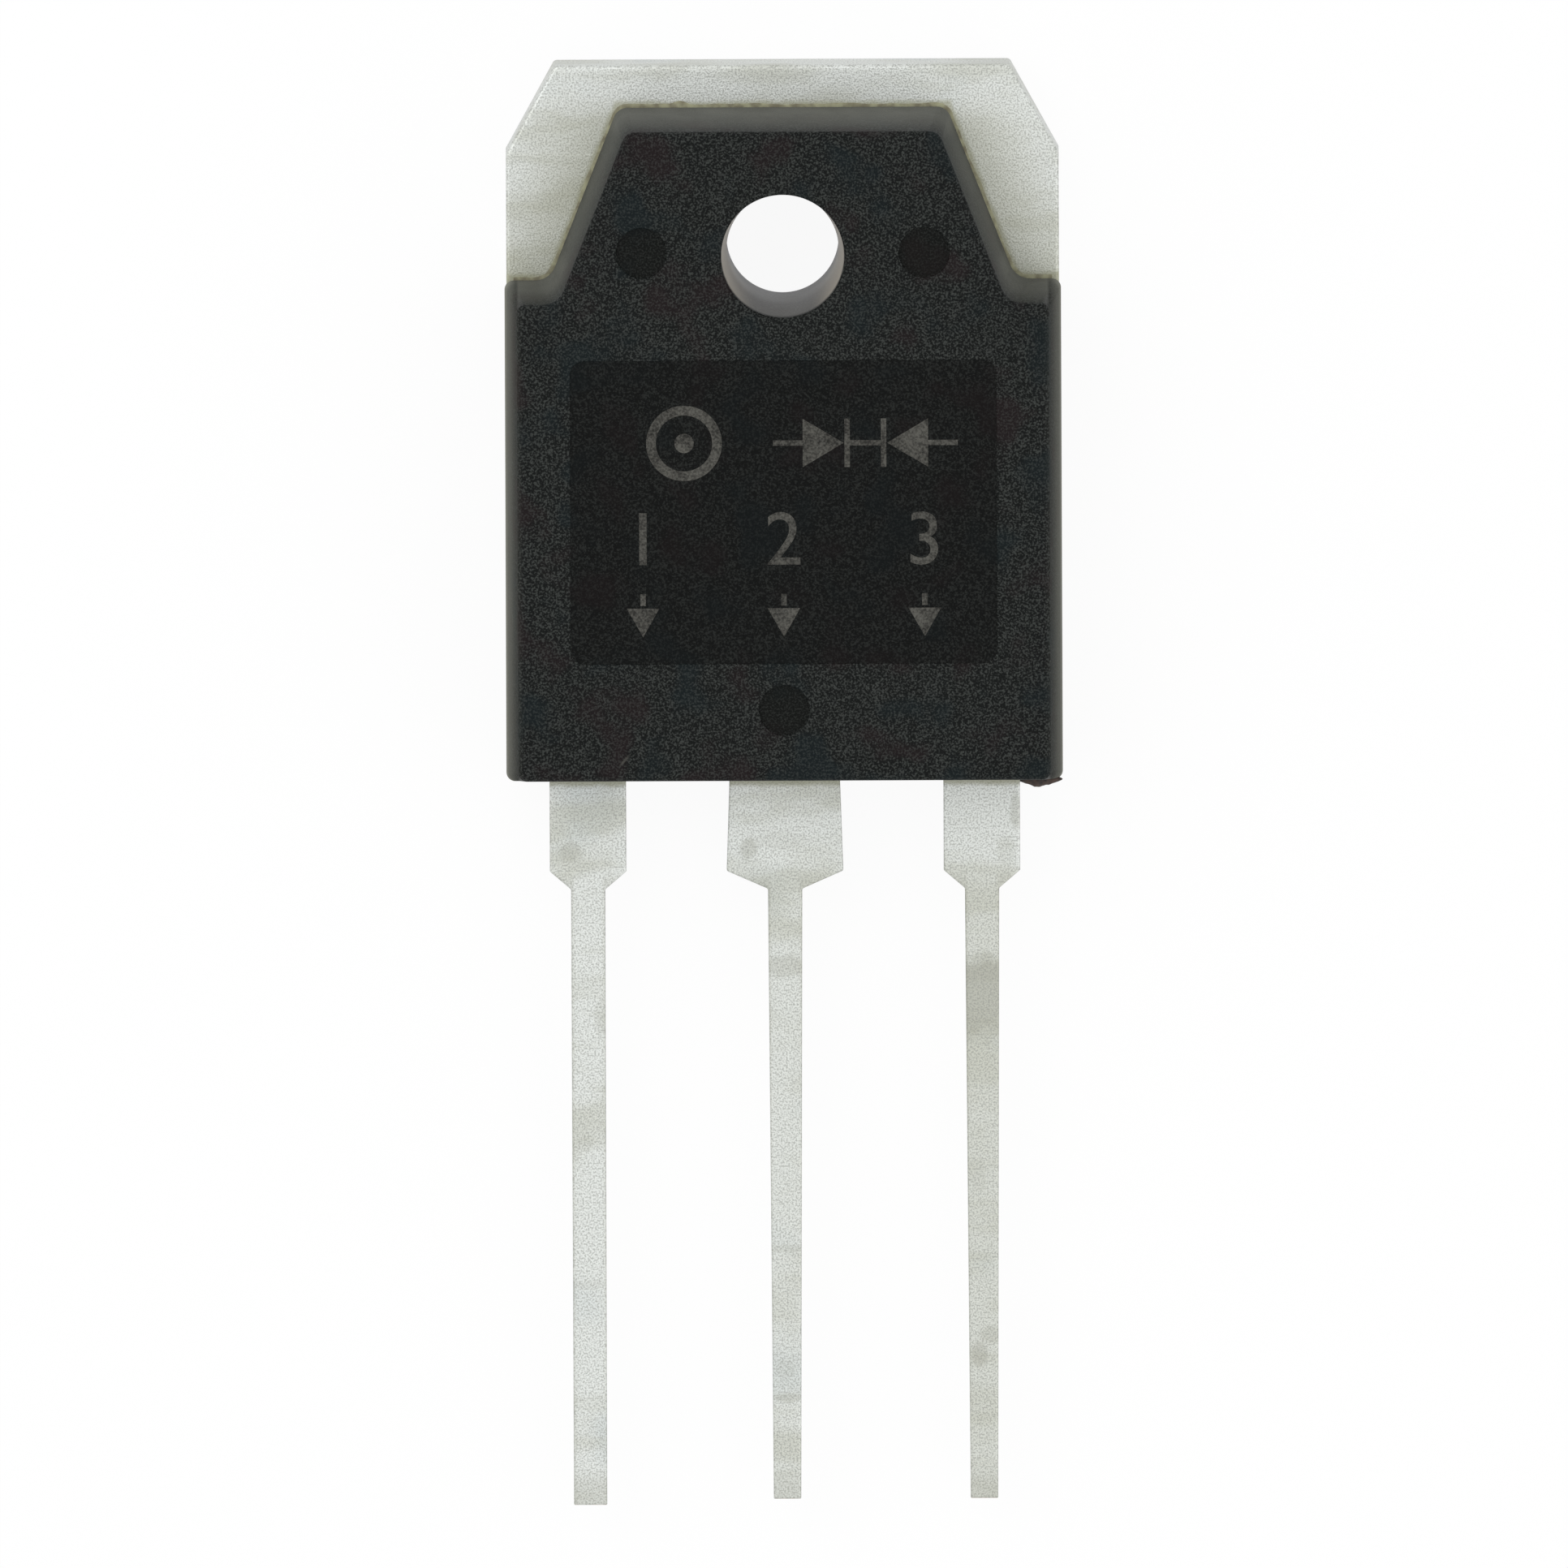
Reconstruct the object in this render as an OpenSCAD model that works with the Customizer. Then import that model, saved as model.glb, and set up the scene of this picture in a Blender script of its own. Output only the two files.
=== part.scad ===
// Twin power diode in a three-lead power transistor package.
// It lies on its back: +X to the right, +Y towards the tab, +Z out of the marked face.
// The origin is on the axis of the mounting hole, in the plane of the bare metal back.
// Millimetres.

/* [Moulded body] */
// Width of the body at its parting line
body_w = 15.4; // [15.2:0.1:15.8]
// Height of the rectangular block, from its lower edge to the shoulders
block_h = 13.95; // [13.7:0.05:14.2]
// Thickness of the whole package, from its metal back to its marked face
body_t = 4.8; // [4.6:0.05:5]
// Distance from the hole's axis down to the body's lower edge
hole_to_bottom = 14.95; // [14.75:0.05:15.15]
// Distance from the hole's axis up to the upper edge of the nose
hole_to_nose = 3.8; // [3.6:0.05:4]
// Width of the nose at its upper edge
nose_top_w = 9.1; // [8.8:0.1:9.8]
// Width of the nose where it meets the shoulders
nose_base_w = 12.9; // [12.4:0.1:13.3]
// Slope of every side wall that lets the body out of its mould, in degrees
draft = 6; // [3:0.5:7]
// Height of the parting line above the back
parting_z = 1.7; // [1.65:0.05:1.9]
// Radius of the block's four upright corners
block_corner_r = 0.25; // [0.15:0.05:0.4]
// Radius of the two upper corners of the nose
nose_corner_r = 0.4; // [0.2:0.05:0.8]
// Radius in the corner between the nose and each shoulder
shoulder_r = 0.6; // [0.3:0.05:0.9]
// Radius along the rim of the marked face
rim_r = 0.16; // [0.08:0.02:0.3]

/* [Marked face] */
// Diameter of the marks that the mould's ejector pins leave
pin_mark_d = 1.4; // [1.1:0.05:1.7]
// Depth of the ejector pin marks
pin_mark_depth = 0.12; // [0.06:0.02:0.2]
// Distance between the two ejector pin marks on the nose
pin_mark_span = 7.84; // [7.4:0.02:8.4]
// Height of those two marks above the hole's axis
pin_mark_rise = 0.1; // [-0.3:0.05:0.4]
// Distance from the body's lower edge up to the third ejector pin mark
low_mark_rise = 2.3; // [1.9:0.05:2.6]
// Width of the smooth panel for the marking
panel_w = 11.8; // [11:0.1:12.6]
// Height of the panel
panel_h = 8.45; // [7.8:0.05:8.8]
// Distance from the hole's axis down to the panel's upper edge
hole_to_panel = 2.9; // [2.5:0.05:3.1]
// Corner radius of the panel
panel_r = 0.4; // [0.2:0.05:0.8]
// Depth of the panel below the face around it
panel_depth = 0.04; // [0.02:0.01:0.08]

/* [Gate nib] */
// Length of the broken-off gate along the body's lower edge
gate_w = 1.25; // [0.9:0.05:1.4]
// Height that it stands out of the lower edge
gate_h = 0.25; // [0.1:0.05:0.4]
// Thickness of the gate
gate_t = 0.5; // [0.3:0.05:0.8]
// Distance from the body's right side to the near end of the gate
gate_inset = 0.1; // [0:0.05:0.4]

/* [Mounting hole] */
// Diameter of the hole through the body
hole_d = 3.1; // [3:0.05:3.3]
// Diameter of the hole's mouth in the marked face
mouth_d = 3.42; // [3.35:0.01:3.6]
// Depth of the hole's tapered stretch below the marked face
mouth_depth = 1.9; // [1.2:0.1:2.4]
// Thickness of the moulded lining between the hole and the metal of the header
lining = 0.75; // [0.5:0.05:0.9]

/* [Header] */
// Thickness of the header's plate
tab_t = 1.5; // [1.4:0.05:1.6]
// Distance from the hole's axis up to the upper edge of the tab
hole_to_tab = 4.95; // [4.8:0.05:5.2]
// Width that each upper corner of the tab loses to its chamfer
chamfer_w = 1.35; // [1.1:0.05:1.6]
// Height that it loses
chamfer_h = 2.45; // [2.2:0.05:2.7]
// How far each ear stands in from the body's widest line
ear_inset = 0.05; // [0.02:0.01:0.12]
// How far the ears reach down past the back of the shoulders
ear_seat = 0.1; // [0.05:0.05:0.2]
// Width of the plate's bare face in the back of the block
slug_w = 13.6; // [13.2:0.1:13.8]
// Moulding below the plate's bare face
slug_margin = 1.2; // [1.1:0.05:1.35]
// Overhang of the coined edge that keys the plate into the moulding
key_w = 0.22; // [0.1:0.02:0.26]
// Height of that overhang above the back
key_z = 0.4; // [0.3:0.05:0.55]
// Width of the groove across the plate that stops moisture from the tab
groove_w = 0.5; // [0.3:0.05:0.7]
// Depth of the groove
groove_depth = 0.2; // [0.1:0.05:0.3]
// Distance from the hole's axis down to the groove
hole_to_groove = 3.6; // [3.3:0.05:3.9]
// Thickness of the plate's coined steps, under the lead posts
step_t = 0.8; // [0.7:0.05:0.9]
// Slope of the joggle that lifts the middle lead off the plate, in degrees
joggle_angle = 45; // [40:5:55]
// Flat stretch of the middle lead between the plate and its joggle
joggle_start = 0.1; // [0.05:0.05:0.2]

/* [Leads] */
// Thickness of the leads
lead_t = 0.6; // [0.5:0.05:0.65]
// How far inside the body the bevelled edges of the leads begin
lead_root = 0.2; // [0.15:0.05:0.25]
// Height of the leads' back face above the back of the package
lead_rise = 1.4; // [1.3:0.05:1.5]
// Distance between the centres of neighbouring leads
lead_pitch = 5.45; // [5.35:0.05:5.55]
// Length of the leads below the body
lead_len = 20; // [12:0.5:22]
// Extra length that the cut left on the left lead
left_extra = 0.15; // [0:0.05:0.3]
// Length of the wide shoulder of each lead
lead_shoulder_len = 2.5; // [2:0.1:3]
// Length of the taper between shoulder and tail
lead_taper = 0.5; // [0.4:0.05:0.8]
// Width of the shoulders of the two outer leads
lead_shoulder_w = 2.12; // [1.9:0.02:2.4]
// Width of the middle lead where it leaves the body
middle_w = 3.05; // [2.8:0.05:3.3]
// How much wider the middle lead's shoulder is at its lower end
middle_flare = 0.18; // [0:0.02:0.3]
// Width of the tails where they leave the shoulders
tail_w = 0.95; // [0.85:0.05:1.1]
// Width of the left lead's tip
left_tip_w = 0.92; // [0.7:0.02:1]
// Width of the middle and right leads' tips
tip_w = 0.76; // [0.6:0.02:0.9]
// Bevel on the leads' stamped edges
lead_bevel = 0.06; // [0.03:0.01:0.1]
// Width of the post inside the body that carries the bond wires
post_w = 3.9; // [3.6:0.1:4.1]
// Height of the post
post_h = 1.9; // [1.7:0.05:2]
// How far the post lies inwards of its lead's centre line
post_shift = 0.5; // [0.4:0.05:0.7]
// Distance from the body's lower edge up to the post
post_inset = 1.3; // [1.2:0.05:1.4]
// Diameter of the notches that anchor each outer lead in the moulding
notch_d = 0.5; // [0.3:0.05:0.6]
// Gap between each post and the full thickness of the plate
post_gap = 0.55; // [0.45:0.05:0.65]

/* [Dies and wires] */
// Width of each diode die
die_w = 4.4; // [4:0.1:4.8]
// Height of each die
die_h = 5.2; // [4.8:0.1:5.4]
// Thickness of each die
die_t = 0.25; // [0.2:0.05:0.35]
// Distance between the centres of the two dies
die_pitch = 6.6; // [6.2:0.1:7]
// Distance from the hole's axis down to the dies' upper edge
hole_to_die = 5; // [4.7:0.05:5.1]
// Thickness of the solder under each die
solder_t = 0.08; // [0.05:0.01:0.12]
// Border of solder around each die
solder_border = 0.08; // [0.04:0.01:0.12]
// Diameter of the aluminium bond wires
wire_d = 0.4; // [0.3:0.02:0.46]
// Distance between the two wires of a die
wire_pitch = 1.3; // [1.1:0.05:1.5]
// Height of the wires' loops above the line between their ends
loop_h = 0.9; // [0.8:0.05:1.3]
// Length of a wire's flattened foot
foot_l = 1; // [0.9:0.05:1.1]
// Width of the foot
foot_w = 0.56; // [0.5:0.02:0.6]
// Thickness of the foot
foot_t = 0.3; // [0.28:0.01:0.34]
// Distance from a die's lower edge up to the middle of the feet on it
foot_inset = 1.3; // [1.1:0.05:1.5]

/* [Hidden] */

// Facets of a full circle, and steps of a corner's quarter turn
$fn = 64;
corner_steps = 4;
rim_steps = 3;
// Overlap that lets a cut run clear of the face that it starts from
cut = 0.5;

// Heights of the plate's, the block's and the nose's edges over the hole's axis
tab_top_y = hole_to_tab;
bottom_y = -hole_to_bottom;
shoulder_y = bottom_y + block_h;
// Inward lean of the back half's walls, from the parting line to the back
back_lean = parting_z * tan(draft);
ear_w = body_w - 2 * ear_inset;
ear_bottom_y = shoulder_y - back_lean - ear_seat;
slug_bottom_y = bottom_y + slug_margin;
header_hole_d = hole_d + 2 * lining;

// Levels of the leads, and the line where their shoulders end
lead_top = lead_rise + lead_t;
lead_shoulder_y = bottom_y - lead_shoulder_len;
tail_y = lead_shoulder_y - lead_taper;
post_bottom_y = bottom_y + post_inset;
post_top_y = post_bottom_y + post_h;
post_x = lead_pitch - post_shift;
step_top_y = post_top_y + post_gap;
strip_w = middle_w;

// Seats of the dies, the feet and the arcs of the wires
die_x = die_pitch / 2;
die_y = -hole_to_die - die_h / 2;
die_seat = tab_t + solder_t;
die_top = die_seat + die_t;
wire_mid_x = (die_x + post_x) / 2;
die_foot_y = die_y - die_h / 2 + foot_inset;
post_foot_y = (post_bottom_y + post_top_y) / 2;
// Reach of the arc's end past the middle of its foot, towards the heel
heel_reach = foot_l / 4;

// Unit vector along v, and the same turned a quarter turn to the left
function unit(v) = v / norm(v);
function left_of(v) = [-v[1], v[0]];
function spot(p) = [p[0], p[1]];

// Directions of the sides before and after corner i of a closed outline
function side_in(pts, i) = unit(spot(pts[i]) - spot(pts[(i + len(pts) - 1) % len(pts)]));
function side_out(pts, i) = unit(spot(pts[(i + 1) % len(pts)]) - spot(pts[i]));

// Corner i after every side has moved inwards by d, for an outline that runs anticlockwise
function moved_corner(pts, i, d) =
  let (a = left_of(side_in(pts, i)), b = left_of(side_out(pts, i)))
  spot(pts[i]) + d * (a + b) / (1 + a * b);

// Arc that rounds corner i with the radius in its third value, as steps + 1 points
function corner_arc(pts, i, d, steps) =
  let (
    a = side_in(pts, i),
    b = side_out(pts, i),
    turn = atan2(a[0] * b[1] - a[1] * b[0], a * b),
    r = pts[i][2],
    start = moved_corner(pts, i, d) - a * r * abs(tan(turn / 2)),
    centre = start + left_of(a) * r * sign(turn),
    spoke = start - centre
  )
  [for (k = [0:steps])
    let (t = turn * k / steps)
    centre + [spoke[0] * cos(t) - spoke[1] * sin(t), spoke[0] * sin(t) + spoke[1] * cos(t)]];

// Outline with every side moved inwards by d; a corner without a radius stays sharp
function moved_outline(pts, d) =
  [for (i = [0:len(pts) - 1])
    each (len(pts[i]) < 3 ? [moved_corner(pts, i, d)] : corner_arc(pts, i, d, corner_steps))];

// Solid with flat sides through copies of an outline; each level is [height, inward move].
// Both flat ends are fans from the outline's first corner, which has to see all the others.
module loft(pts, levels) {
  rings = [for (level = levels) [for (p = moved_outline(pts, level[1])) [p[0], p[1], level[0]]]];
  n = len(rings[0]);
  top = (len(levels) - 1) * n;
  polyhedron(
    points = [for (ring = rings) each ring],
    faces = concat(
      [[for (i = [0:n - 1]) i]],
      [for (k = [0:len(levels) - 2], i = [0:n - 1])
        let (j = (i + 1) % n)
        [k * n + i, (k + 1) * n + i, (k + 1) * n + j, k * n + j]],
      [[for (i = [0:n - 1]) top + (n - i) % n]]
    ),
    convexity = 6
  );
}

// Stamped sheet: an outline between two heights, with bevelled edges on both faces
module stamping(pts, low, high, bevel) {
  loft(pts, [[low, bevel], [low + bevel, 0], [high - bevel, 0], [high, bevel]]);
}

// Lead outside the body, about its own centre line: tail, taper and shoulder.
// The outline starts where the tail begins, the one corner that sees both of its ends.
module lead_blade(shoulder, flare, tip, length) {
  root_y = bottom_y + lead_root + lead_bevel;
  stamping([
    [tail_w / 2, tail_y],
    [(shoulder + flare) / 2, lead_shoulder_y],
    [shoulder / 2, root_y],
    [-shoulder / 2, root_y],
    [-(shoulder + flare) / 2, lead_shoulder_y],
    [-tail_w / 2, tail_y],
    [-tip / 2, bottom_y - length],
    [tip / 2, bottom_y - length]
  ], lead_rise, lead_top, lead_bevel);
}

// Right half of an outline, and its mirror image in reverse order, as one closed outline
function both_halves(right) =
  concat(right, [for (i = [len(right) - 1:-1:0])
    len(right[i]) < 3 ? [-right[i][0], right[i][1]] : [-right[i][0], right[i][1], right[i][2]]]);

// Outline of the body at its parting line: block, shoulders and nose
body_outline = both_halves([
  [body_w / 2, bottom_y, block_corner_r],
  [body_w / 2, shoulder_y, block_corner_r],
  [nose_base_w / 2, shoulder_y, shoulder_r],
  [nose_top_w / 2, hole_to_nose, nose_corner_r]
]);

// Heights and inward moves of the body: back, parting line, front wall and rounded rim
wall_top = body_t - rim_r;
wall_lean = (wall_top - parting_z) * tan(draft);
body_levels = concat(
  [[0, back_lean], [parting_z, 0], [wall_top, wall_lean]],
  [for (k = [1:rim_steps])
    let (t = 90 * k / rim_steps)
    [wall_top + rim_r * sin(t), wall_lean + rim_r * (1 - cos(t))]]
);

// Broken-off end of the gate that fed the mould, on the lower edge near the right side
module gate_nib() {
  far = body_w / 2 - gate_inset;
  translate([0, 0, parting_z - gate_t / 2])
    linear_extrude(gate_t)
      polygon([
        [far - gate_w, bottom_y],
        [far - gate_w / 2, bottom_y - gate_h],
        [far, bottom_y],
        [far, bottom_y + gate_inset + block_corner_r],
        [far - gate_w, bottom_y + gate_inset + block_corner_r]
      ]);
}

// Recess of one ejector pin
module pin_mark(x, y) {
  translate([x, y, body_t - pin_mark_depth])
    cylinder(d = pin_mark_d, h = pin_mark_depth + cut);
}

// Recess of the marking panel, with round corners
module panel_recess() {
  low = -hole_to_panel - panel_h;
  translate([0, 0, body_t - panel_depth])
    linear_extrude(panel_depth + cut) {
      translate([-panel_w / 2 + panel_r, low])
        square([panel_w - 2 * panel_r, panel_h]);
      translate([-panel_w / 2, low + panel_r])
        square([panel_w, panel_h - 2 * panel_r]);
      for (side = [-1, 1], y = [low + panel_r, low + panel_h - panel_r])
        translate([side * (panel_w / 2 - panel_r), y])
          circle(r = panel_r);
    }
}

// Mounting hole: straight from the back, then widening towards its mouth
module mounting_hole() {
  straight = body_t - mouth_depth;
  translate([0, 0, -cut])
    cylinder(d = hole_d, h = straight + cut);
  translate([0, 0, straight])
    cylinder(d1 = hole_d, d2 = mouth_d, h = mouth_depth);
  translate([0, 0, body_t])
    cylinder(d = mouth_d, h = cut);
}

// Epoxy moulding, formed around everything that it holds
module moulded_body() {
  color("#303331")
    difference() {
      union() {
        loft(body_outline, body_levels);
        gate_nib();
      }
      mounting_hole();
      for (side = [-1, 1])
        pin_mark(side * pin_mark_span / 2, pin_mark_rise);
      pin_mark(0, bottom_y + low_mark_rise);
      panel_recess();
      header();
      left_lead();
      right_lead();
      for (side = [-1, 1]) {
        solder_layer(side);
        die(side);
        for (place = [-1, 1])
          bond_wire(side, place);
      }
    }
}

// Outline of the header's plate: ears with chamfered corners, and the slug below them
plate_outline = both_halves([
  [slug_w / 2 + key_w, slug_bottom_y],
  [slug_w / 2 + key_w, ear_bottom_y],
  [ear_w / 2, ear_bottom_y],
  [ear_w / 2, tab_top_y - chamfer_h],
  [ear_w / 2 - chamfer_w, tab_top_y]
]);

// Cuts that set the plate's back in at both sides of the slug, below the key's overhang
module key_undercut() {
  low = slug_bottom_y - cut;
  for (x = [-slug_w / 2 - key_w - cut, slug_w / 2])
    translate([x, low, -cut])
      cube([key_w + cut, ear_bottom_y - low, key_z + cut]);
}

// Cut that thins the plate beside the middle strip, to leave room under the posts
module coined_step(side) {
  width = slug_w / 2 + key_w + cut - strip_w / 2;
  translate([side > 0 ? strip_w / 2 : -strip_w / 2 - width, slug_bottom_y - cut, step_t])
    cube([width, step_top_y - slug_bottom_y + cut, tab_t]);
}

// V groove across the front of the plate, below the hole
module moisture_groove() {
  translate([-slug_w / 2 - key_w - cut, -hole_to_groove, tab_t])
    rotate([90, 0, 90])
      linear_extrude(slug_w + 2 * key_w + 2 * cut)
        polygon([
          [-groove_w / 2, 0],
          [0, -groove_depth],
          [groove_w / 2, 0],
          [groove_w / 2, cut],
          [-groove_w / 2, cut]
        ]);
}

// Side view of the strip that lifts the middle lead off the plate
module joggle() {
  lift = lead_rise + lead_t - tab_t;
  run = lift / tan(joggle_angle);
  fold = lead_t * tan(joggle_angle / 2);
  first_y = slug_bottom_y - joggle_start;
  translate([-strip_w / 2, 0, 0])
    rotate([90, 0, 90])
      linear_extrude(strip_w)
        polygon([
          [slug_bottom_y + lead_t, tab_t - lead_t],
          [first_y - fold, tab_t - lead_t],
          [first_y - fold - run, lead_rise],
          [bottom_y + lead_root, lead_rise],
          [bottom_y + lead_root, lead_top],
          [first_y - run, lead_top],
          [first_y, tab_t],
          [slug_bottom_y + lead_t, tab_t]
        ]);
}

// Heat-sink plate with its tab and the middle lead, stamped from one strip of two thicknesses
module header() {
  color("#c6c9c2") {
    difference() {
      linear_extrude(tab_t)
        polygon(plate_outline);
      key_undercut();
      translate([0, 0, -cut])
        cylinder(d = header_hole_d, h = tab_t + 2 * cut);
      coined_step(-1);
      coined_step(1);
      moisture_groove();
    }
    joggle();
    lead_blade(middle_w, middle_flare, tip_w, lead_len);
  }
}

// Outer lead about its own centre line: blade, notched neck, and post shifted to the left
module outer_lead(tip, length) {
  lead_blade(lead_shoulder_w, 0, tip, length);
  translate([0, 0, lead_rise])
    linear_extrude(lead_t)
      difference() {
        union() {
          translate([-lead_shoulder_w / 2, bottom_y + lead_root])
            square([lead_shoulder_w, post_inset]);
          translate([-post_w / 2 - post_shift, post_bottom_y])
            square([post_w, post_h]);
        }
        for (side = [-1, 1])
          translate([side * lead_shoulder_w / 2, bottom_y + post_inset / 2])
            circle(d = notch_d);
      }
}

// Anode lead of the left diode
module left_lead() {
  color("#c3c6bf")
    translate([-lead_pitch, 0, 0])
      mirror([1, 0, 0])
        outer_lead(left_tip_w, lead_len + left_extra);
}

// Anode lead of the right diode
module right_lead() {
  color("#c3c6bf")
    translate([lead_pitch, 0, 0])
      outer_lead(tip_w, lead_len);
}

// Layer of solder between the plate and a die
module solder_layer(side) {
  width = die_w + 2 * solder_border;
  height = die_h + 2 * solder_border;
  translate([side * die_x - width / 2, die_y - height / 2, tab_t])
    cube([width, height, solder_t]);
}

// Diode die, lying on its solder
module die(side) {
  translate([side * die_x - die_w / 2, die_y - die_h / 2, die_seat])
    cube([die_w, die_h, die_t]);
}

// Flattened end of a bond wire, as an upright slot shape
module wire_foot(x, y, seat) {
  translate([x, y, seat])
    linear_extrude(foot_t) {
      square([foot_w, foot_l - foot_w], center = true);
      for (end = [-1, 1])
        translate([0, end * (foot_l - foot_w) / 2])
          circle(d = foot_w);
    }
}

// Bond wire: one arc from the foot on the die to the foot on the post
module bond_wire(side, place) {
  x = side * (wire_mid_x + place * wire_pitch / 2);
  from = [post_foot_y + heel_reach, lead_top + foot_t / 2];
  to = [die_foot_y - heel_reach, die_top + foot_t / 2];
  chord = norm(to - from);
  radius = (chord * chord / 4 + loop_h * loop_h) / (2 * loop_h);
  half = asin(chord / 2 / radius);
  along = unit(to - from);
  centre = (from + to) / 2 + left_of(along) * (loop_h - radius);
  translate([x, 0, 0])
    rotate([90, 0, 90])
      translate(centre)
        rotate(90 - half + atan2(along[1], along[0]))
          rotate_extrude(angle = 2 * half)
            translate([radius, 0])
              circle(d = wire_d);
  wire_foot(x, die_foot_y, die_top);
  wire_foot(x, post_foot_y, lead_top);
}

module left_solder() {
  color("#9da1a4")
    solder_layer(-1);
}

module right_solder() {
  color("#9da1a4")
    solder_layer(1);
}

module left_die() {
  color("#6d7684")
    die(-1);
}

module right_die() {
  color("#6d7684")
    die(1);
}

module left_inner_wire() {
  color("#dadbd8")
    bond_wire(-1, -1);
}

module left_outer_wire() {
  color("#dadbd8")
    bond_wire(-1, 1);
}

module right_inner_wire() {
  color("#dadbd8")
    bond_wire(1, -1);
}

module right_outer_wire() {
  color("#dadbd8")
    bond_wire(1, 1);
}

moulded_body();
header();
left_lead();
right_lead();
left_solder();
right_solder();
left_die();
right_die();
left_inner_wire();
left_outer_wire();
right_inner_wire();
right_outer_wire();
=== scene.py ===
"""Looks of a twin power diode in its moulded package, built round the packed frame.

The part lies on its bare metal back, with its leads along -Y and its marked face up.
Lengths are metres; MM turns a size in millimetres into one.
"""

import math

import bmesh
import bpy
import numpy as np
from bpy.props import FloatProperty, FloatVectorProperty, PointerProperty
from mathutils import Euler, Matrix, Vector
from mathutils.geometry import tessellate_polygon


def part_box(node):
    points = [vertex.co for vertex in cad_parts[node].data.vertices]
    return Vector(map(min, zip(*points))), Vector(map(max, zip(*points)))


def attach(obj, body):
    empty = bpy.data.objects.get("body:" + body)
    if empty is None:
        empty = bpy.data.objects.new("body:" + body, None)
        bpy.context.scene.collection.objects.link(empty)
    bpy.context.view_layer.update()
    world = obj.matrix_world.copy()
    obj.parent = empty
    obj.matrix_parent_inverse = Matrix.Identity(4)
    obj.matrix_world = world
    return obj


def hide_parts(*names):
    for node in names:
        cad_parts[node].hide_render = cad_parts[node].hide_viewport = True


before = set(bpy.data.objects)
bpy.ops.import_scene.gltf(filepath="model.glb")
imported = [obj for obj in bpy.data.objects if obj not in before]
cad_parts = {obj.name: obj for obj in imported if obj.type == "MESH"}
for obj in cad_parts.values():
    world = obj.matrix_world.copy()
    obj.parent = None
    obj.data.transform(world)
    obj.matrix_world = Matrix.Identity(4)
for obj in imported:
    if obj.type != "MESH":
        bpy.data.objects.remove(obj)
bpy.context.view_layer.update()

bl_info = {
    "name": "Moulded power package",
    "version": (1, 0, 0),
    "blender": (4, 5, 0),
    "location": "3D View > Sidebar > Package",
    "description": "Builds the moulding, the stamped metal, the marks and their finishes",
    "category": "Object",
}

MM = 0.001
PHOTO_PIXELS = 1932
# Points nearer than this become one
MERGE = 1e-8
# How far a cutting tool stands past the piece that it cuts
PAST = 1.0 * MM
# Overlap that joins two pieces of one stamping
OVERLAP = 0.01 * MM

# Corners of the packed nodes, which give the sizes that both models share
BODY_LOW, BODY_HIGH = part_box("moulded_body")
HEADER_LOW, HEADER_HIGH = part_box("header")
LEFT_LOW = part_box("left_lead")[0]
RIGHT_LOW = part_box("right_lead")[0]


def length(name, description, millimetres):
    """A size in millimetres as a Blender length property."""
    return FloatProperty(name=name, description=description, default=millimetres * MM,
                         min=0.0, unit="LENGTH", precision=5)


def colour(name, description, red, green, blue):
    """A colour in linear light as a property."""
    return FloatVectorProperty(name=name, description=description, subtype="COLOR",
                               default=(red, green, blue), min=0.0, max=1.0)


def share(name, description, value, most=1.0):
    """A plain number from nought to most as a property."""
    return FloatProperty(name=name, description=description, default=value,
                         min=0.0, max=most)


class MouldingSizes(bpy.types.PropertyGroup):
    """Sizes of the moulded body"""

    draft: FloatProperty(name="Draft", description="Slope of the side walls",
                         default=math.radians(6), subtype="ANGLE", unit="ROTATION")
    block_bottom: length("Hole to bottom", "From the hole's axis to the lower edge", 14.95)
    block_height: length("Block height", "From the lower edge to the shoulders", 13.95)
    nose_top: length("Nose top", "Width of the nose at its upper edge", 9.1)
    nose_base: length("Nose base", "Width of the nose at the shoulders", 12.9)
    nose_rise: length("Nose rise", "From the hole's axis to the nose's upper edge", 3.8)
    parting: length("Parting line", "Height of the parting line", 1.7)
    parting_fin: length("Parting fin", "Height of the fine ridge along the parting line", 0.015)
    corner: length("Corner radius", "Radius of the block's upright corners", 0.25)
    nose_corner: length("Nose corner", "Radius of the nose's upper corners", 0.4)
    shoulder: length("Shoulder radius", "Radius between nose and shoulders", 0.6)
    rim: length("Rim radius", "Radius round the marked face", 0.16)
    edge: length("Edge radius", "Radius of the fine edges", 0.04)
    hole: length("Hole diameter", "Straight stretch of the mounting hole", 3.1)
    mouth: length("Mouth diameter", "Mounting hole at the marked face", 3.42)
    mouth_depth: length("Mouth depth", "Depth of the hole's tapered stretch", 1.9)
    mark: length("Pin mark", "Diameter of the ejector pin marks", 1.4)
    mark_depth: length("Pin mark depth", "Depth of the ejector pin marks", 0.12)
    mark_span: length("Pin mark span", "Distance between the upper two", 7.84)
    mark_rise: length("Pin mark rise", "Height of the upper two over the hole's axis", 0.1)
    low_mark: length("Low pin mark", "Height of the third over the lower edge", 2.3)
    panel_width: length("Panel width", "Width of the marking panel", 11.8)
    panel_height: length("Panel height", "Height of the marking panel", 8.45)
    panel_drop: length("Panel drop", "From the hole's axis to the panel", 2.9)
    panel_corner: length("Panel corner", "Corner radius of the panel", 0.4)
    panel_depth: length("Panel depth", "Depth of the panel", 0.04)


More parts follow.
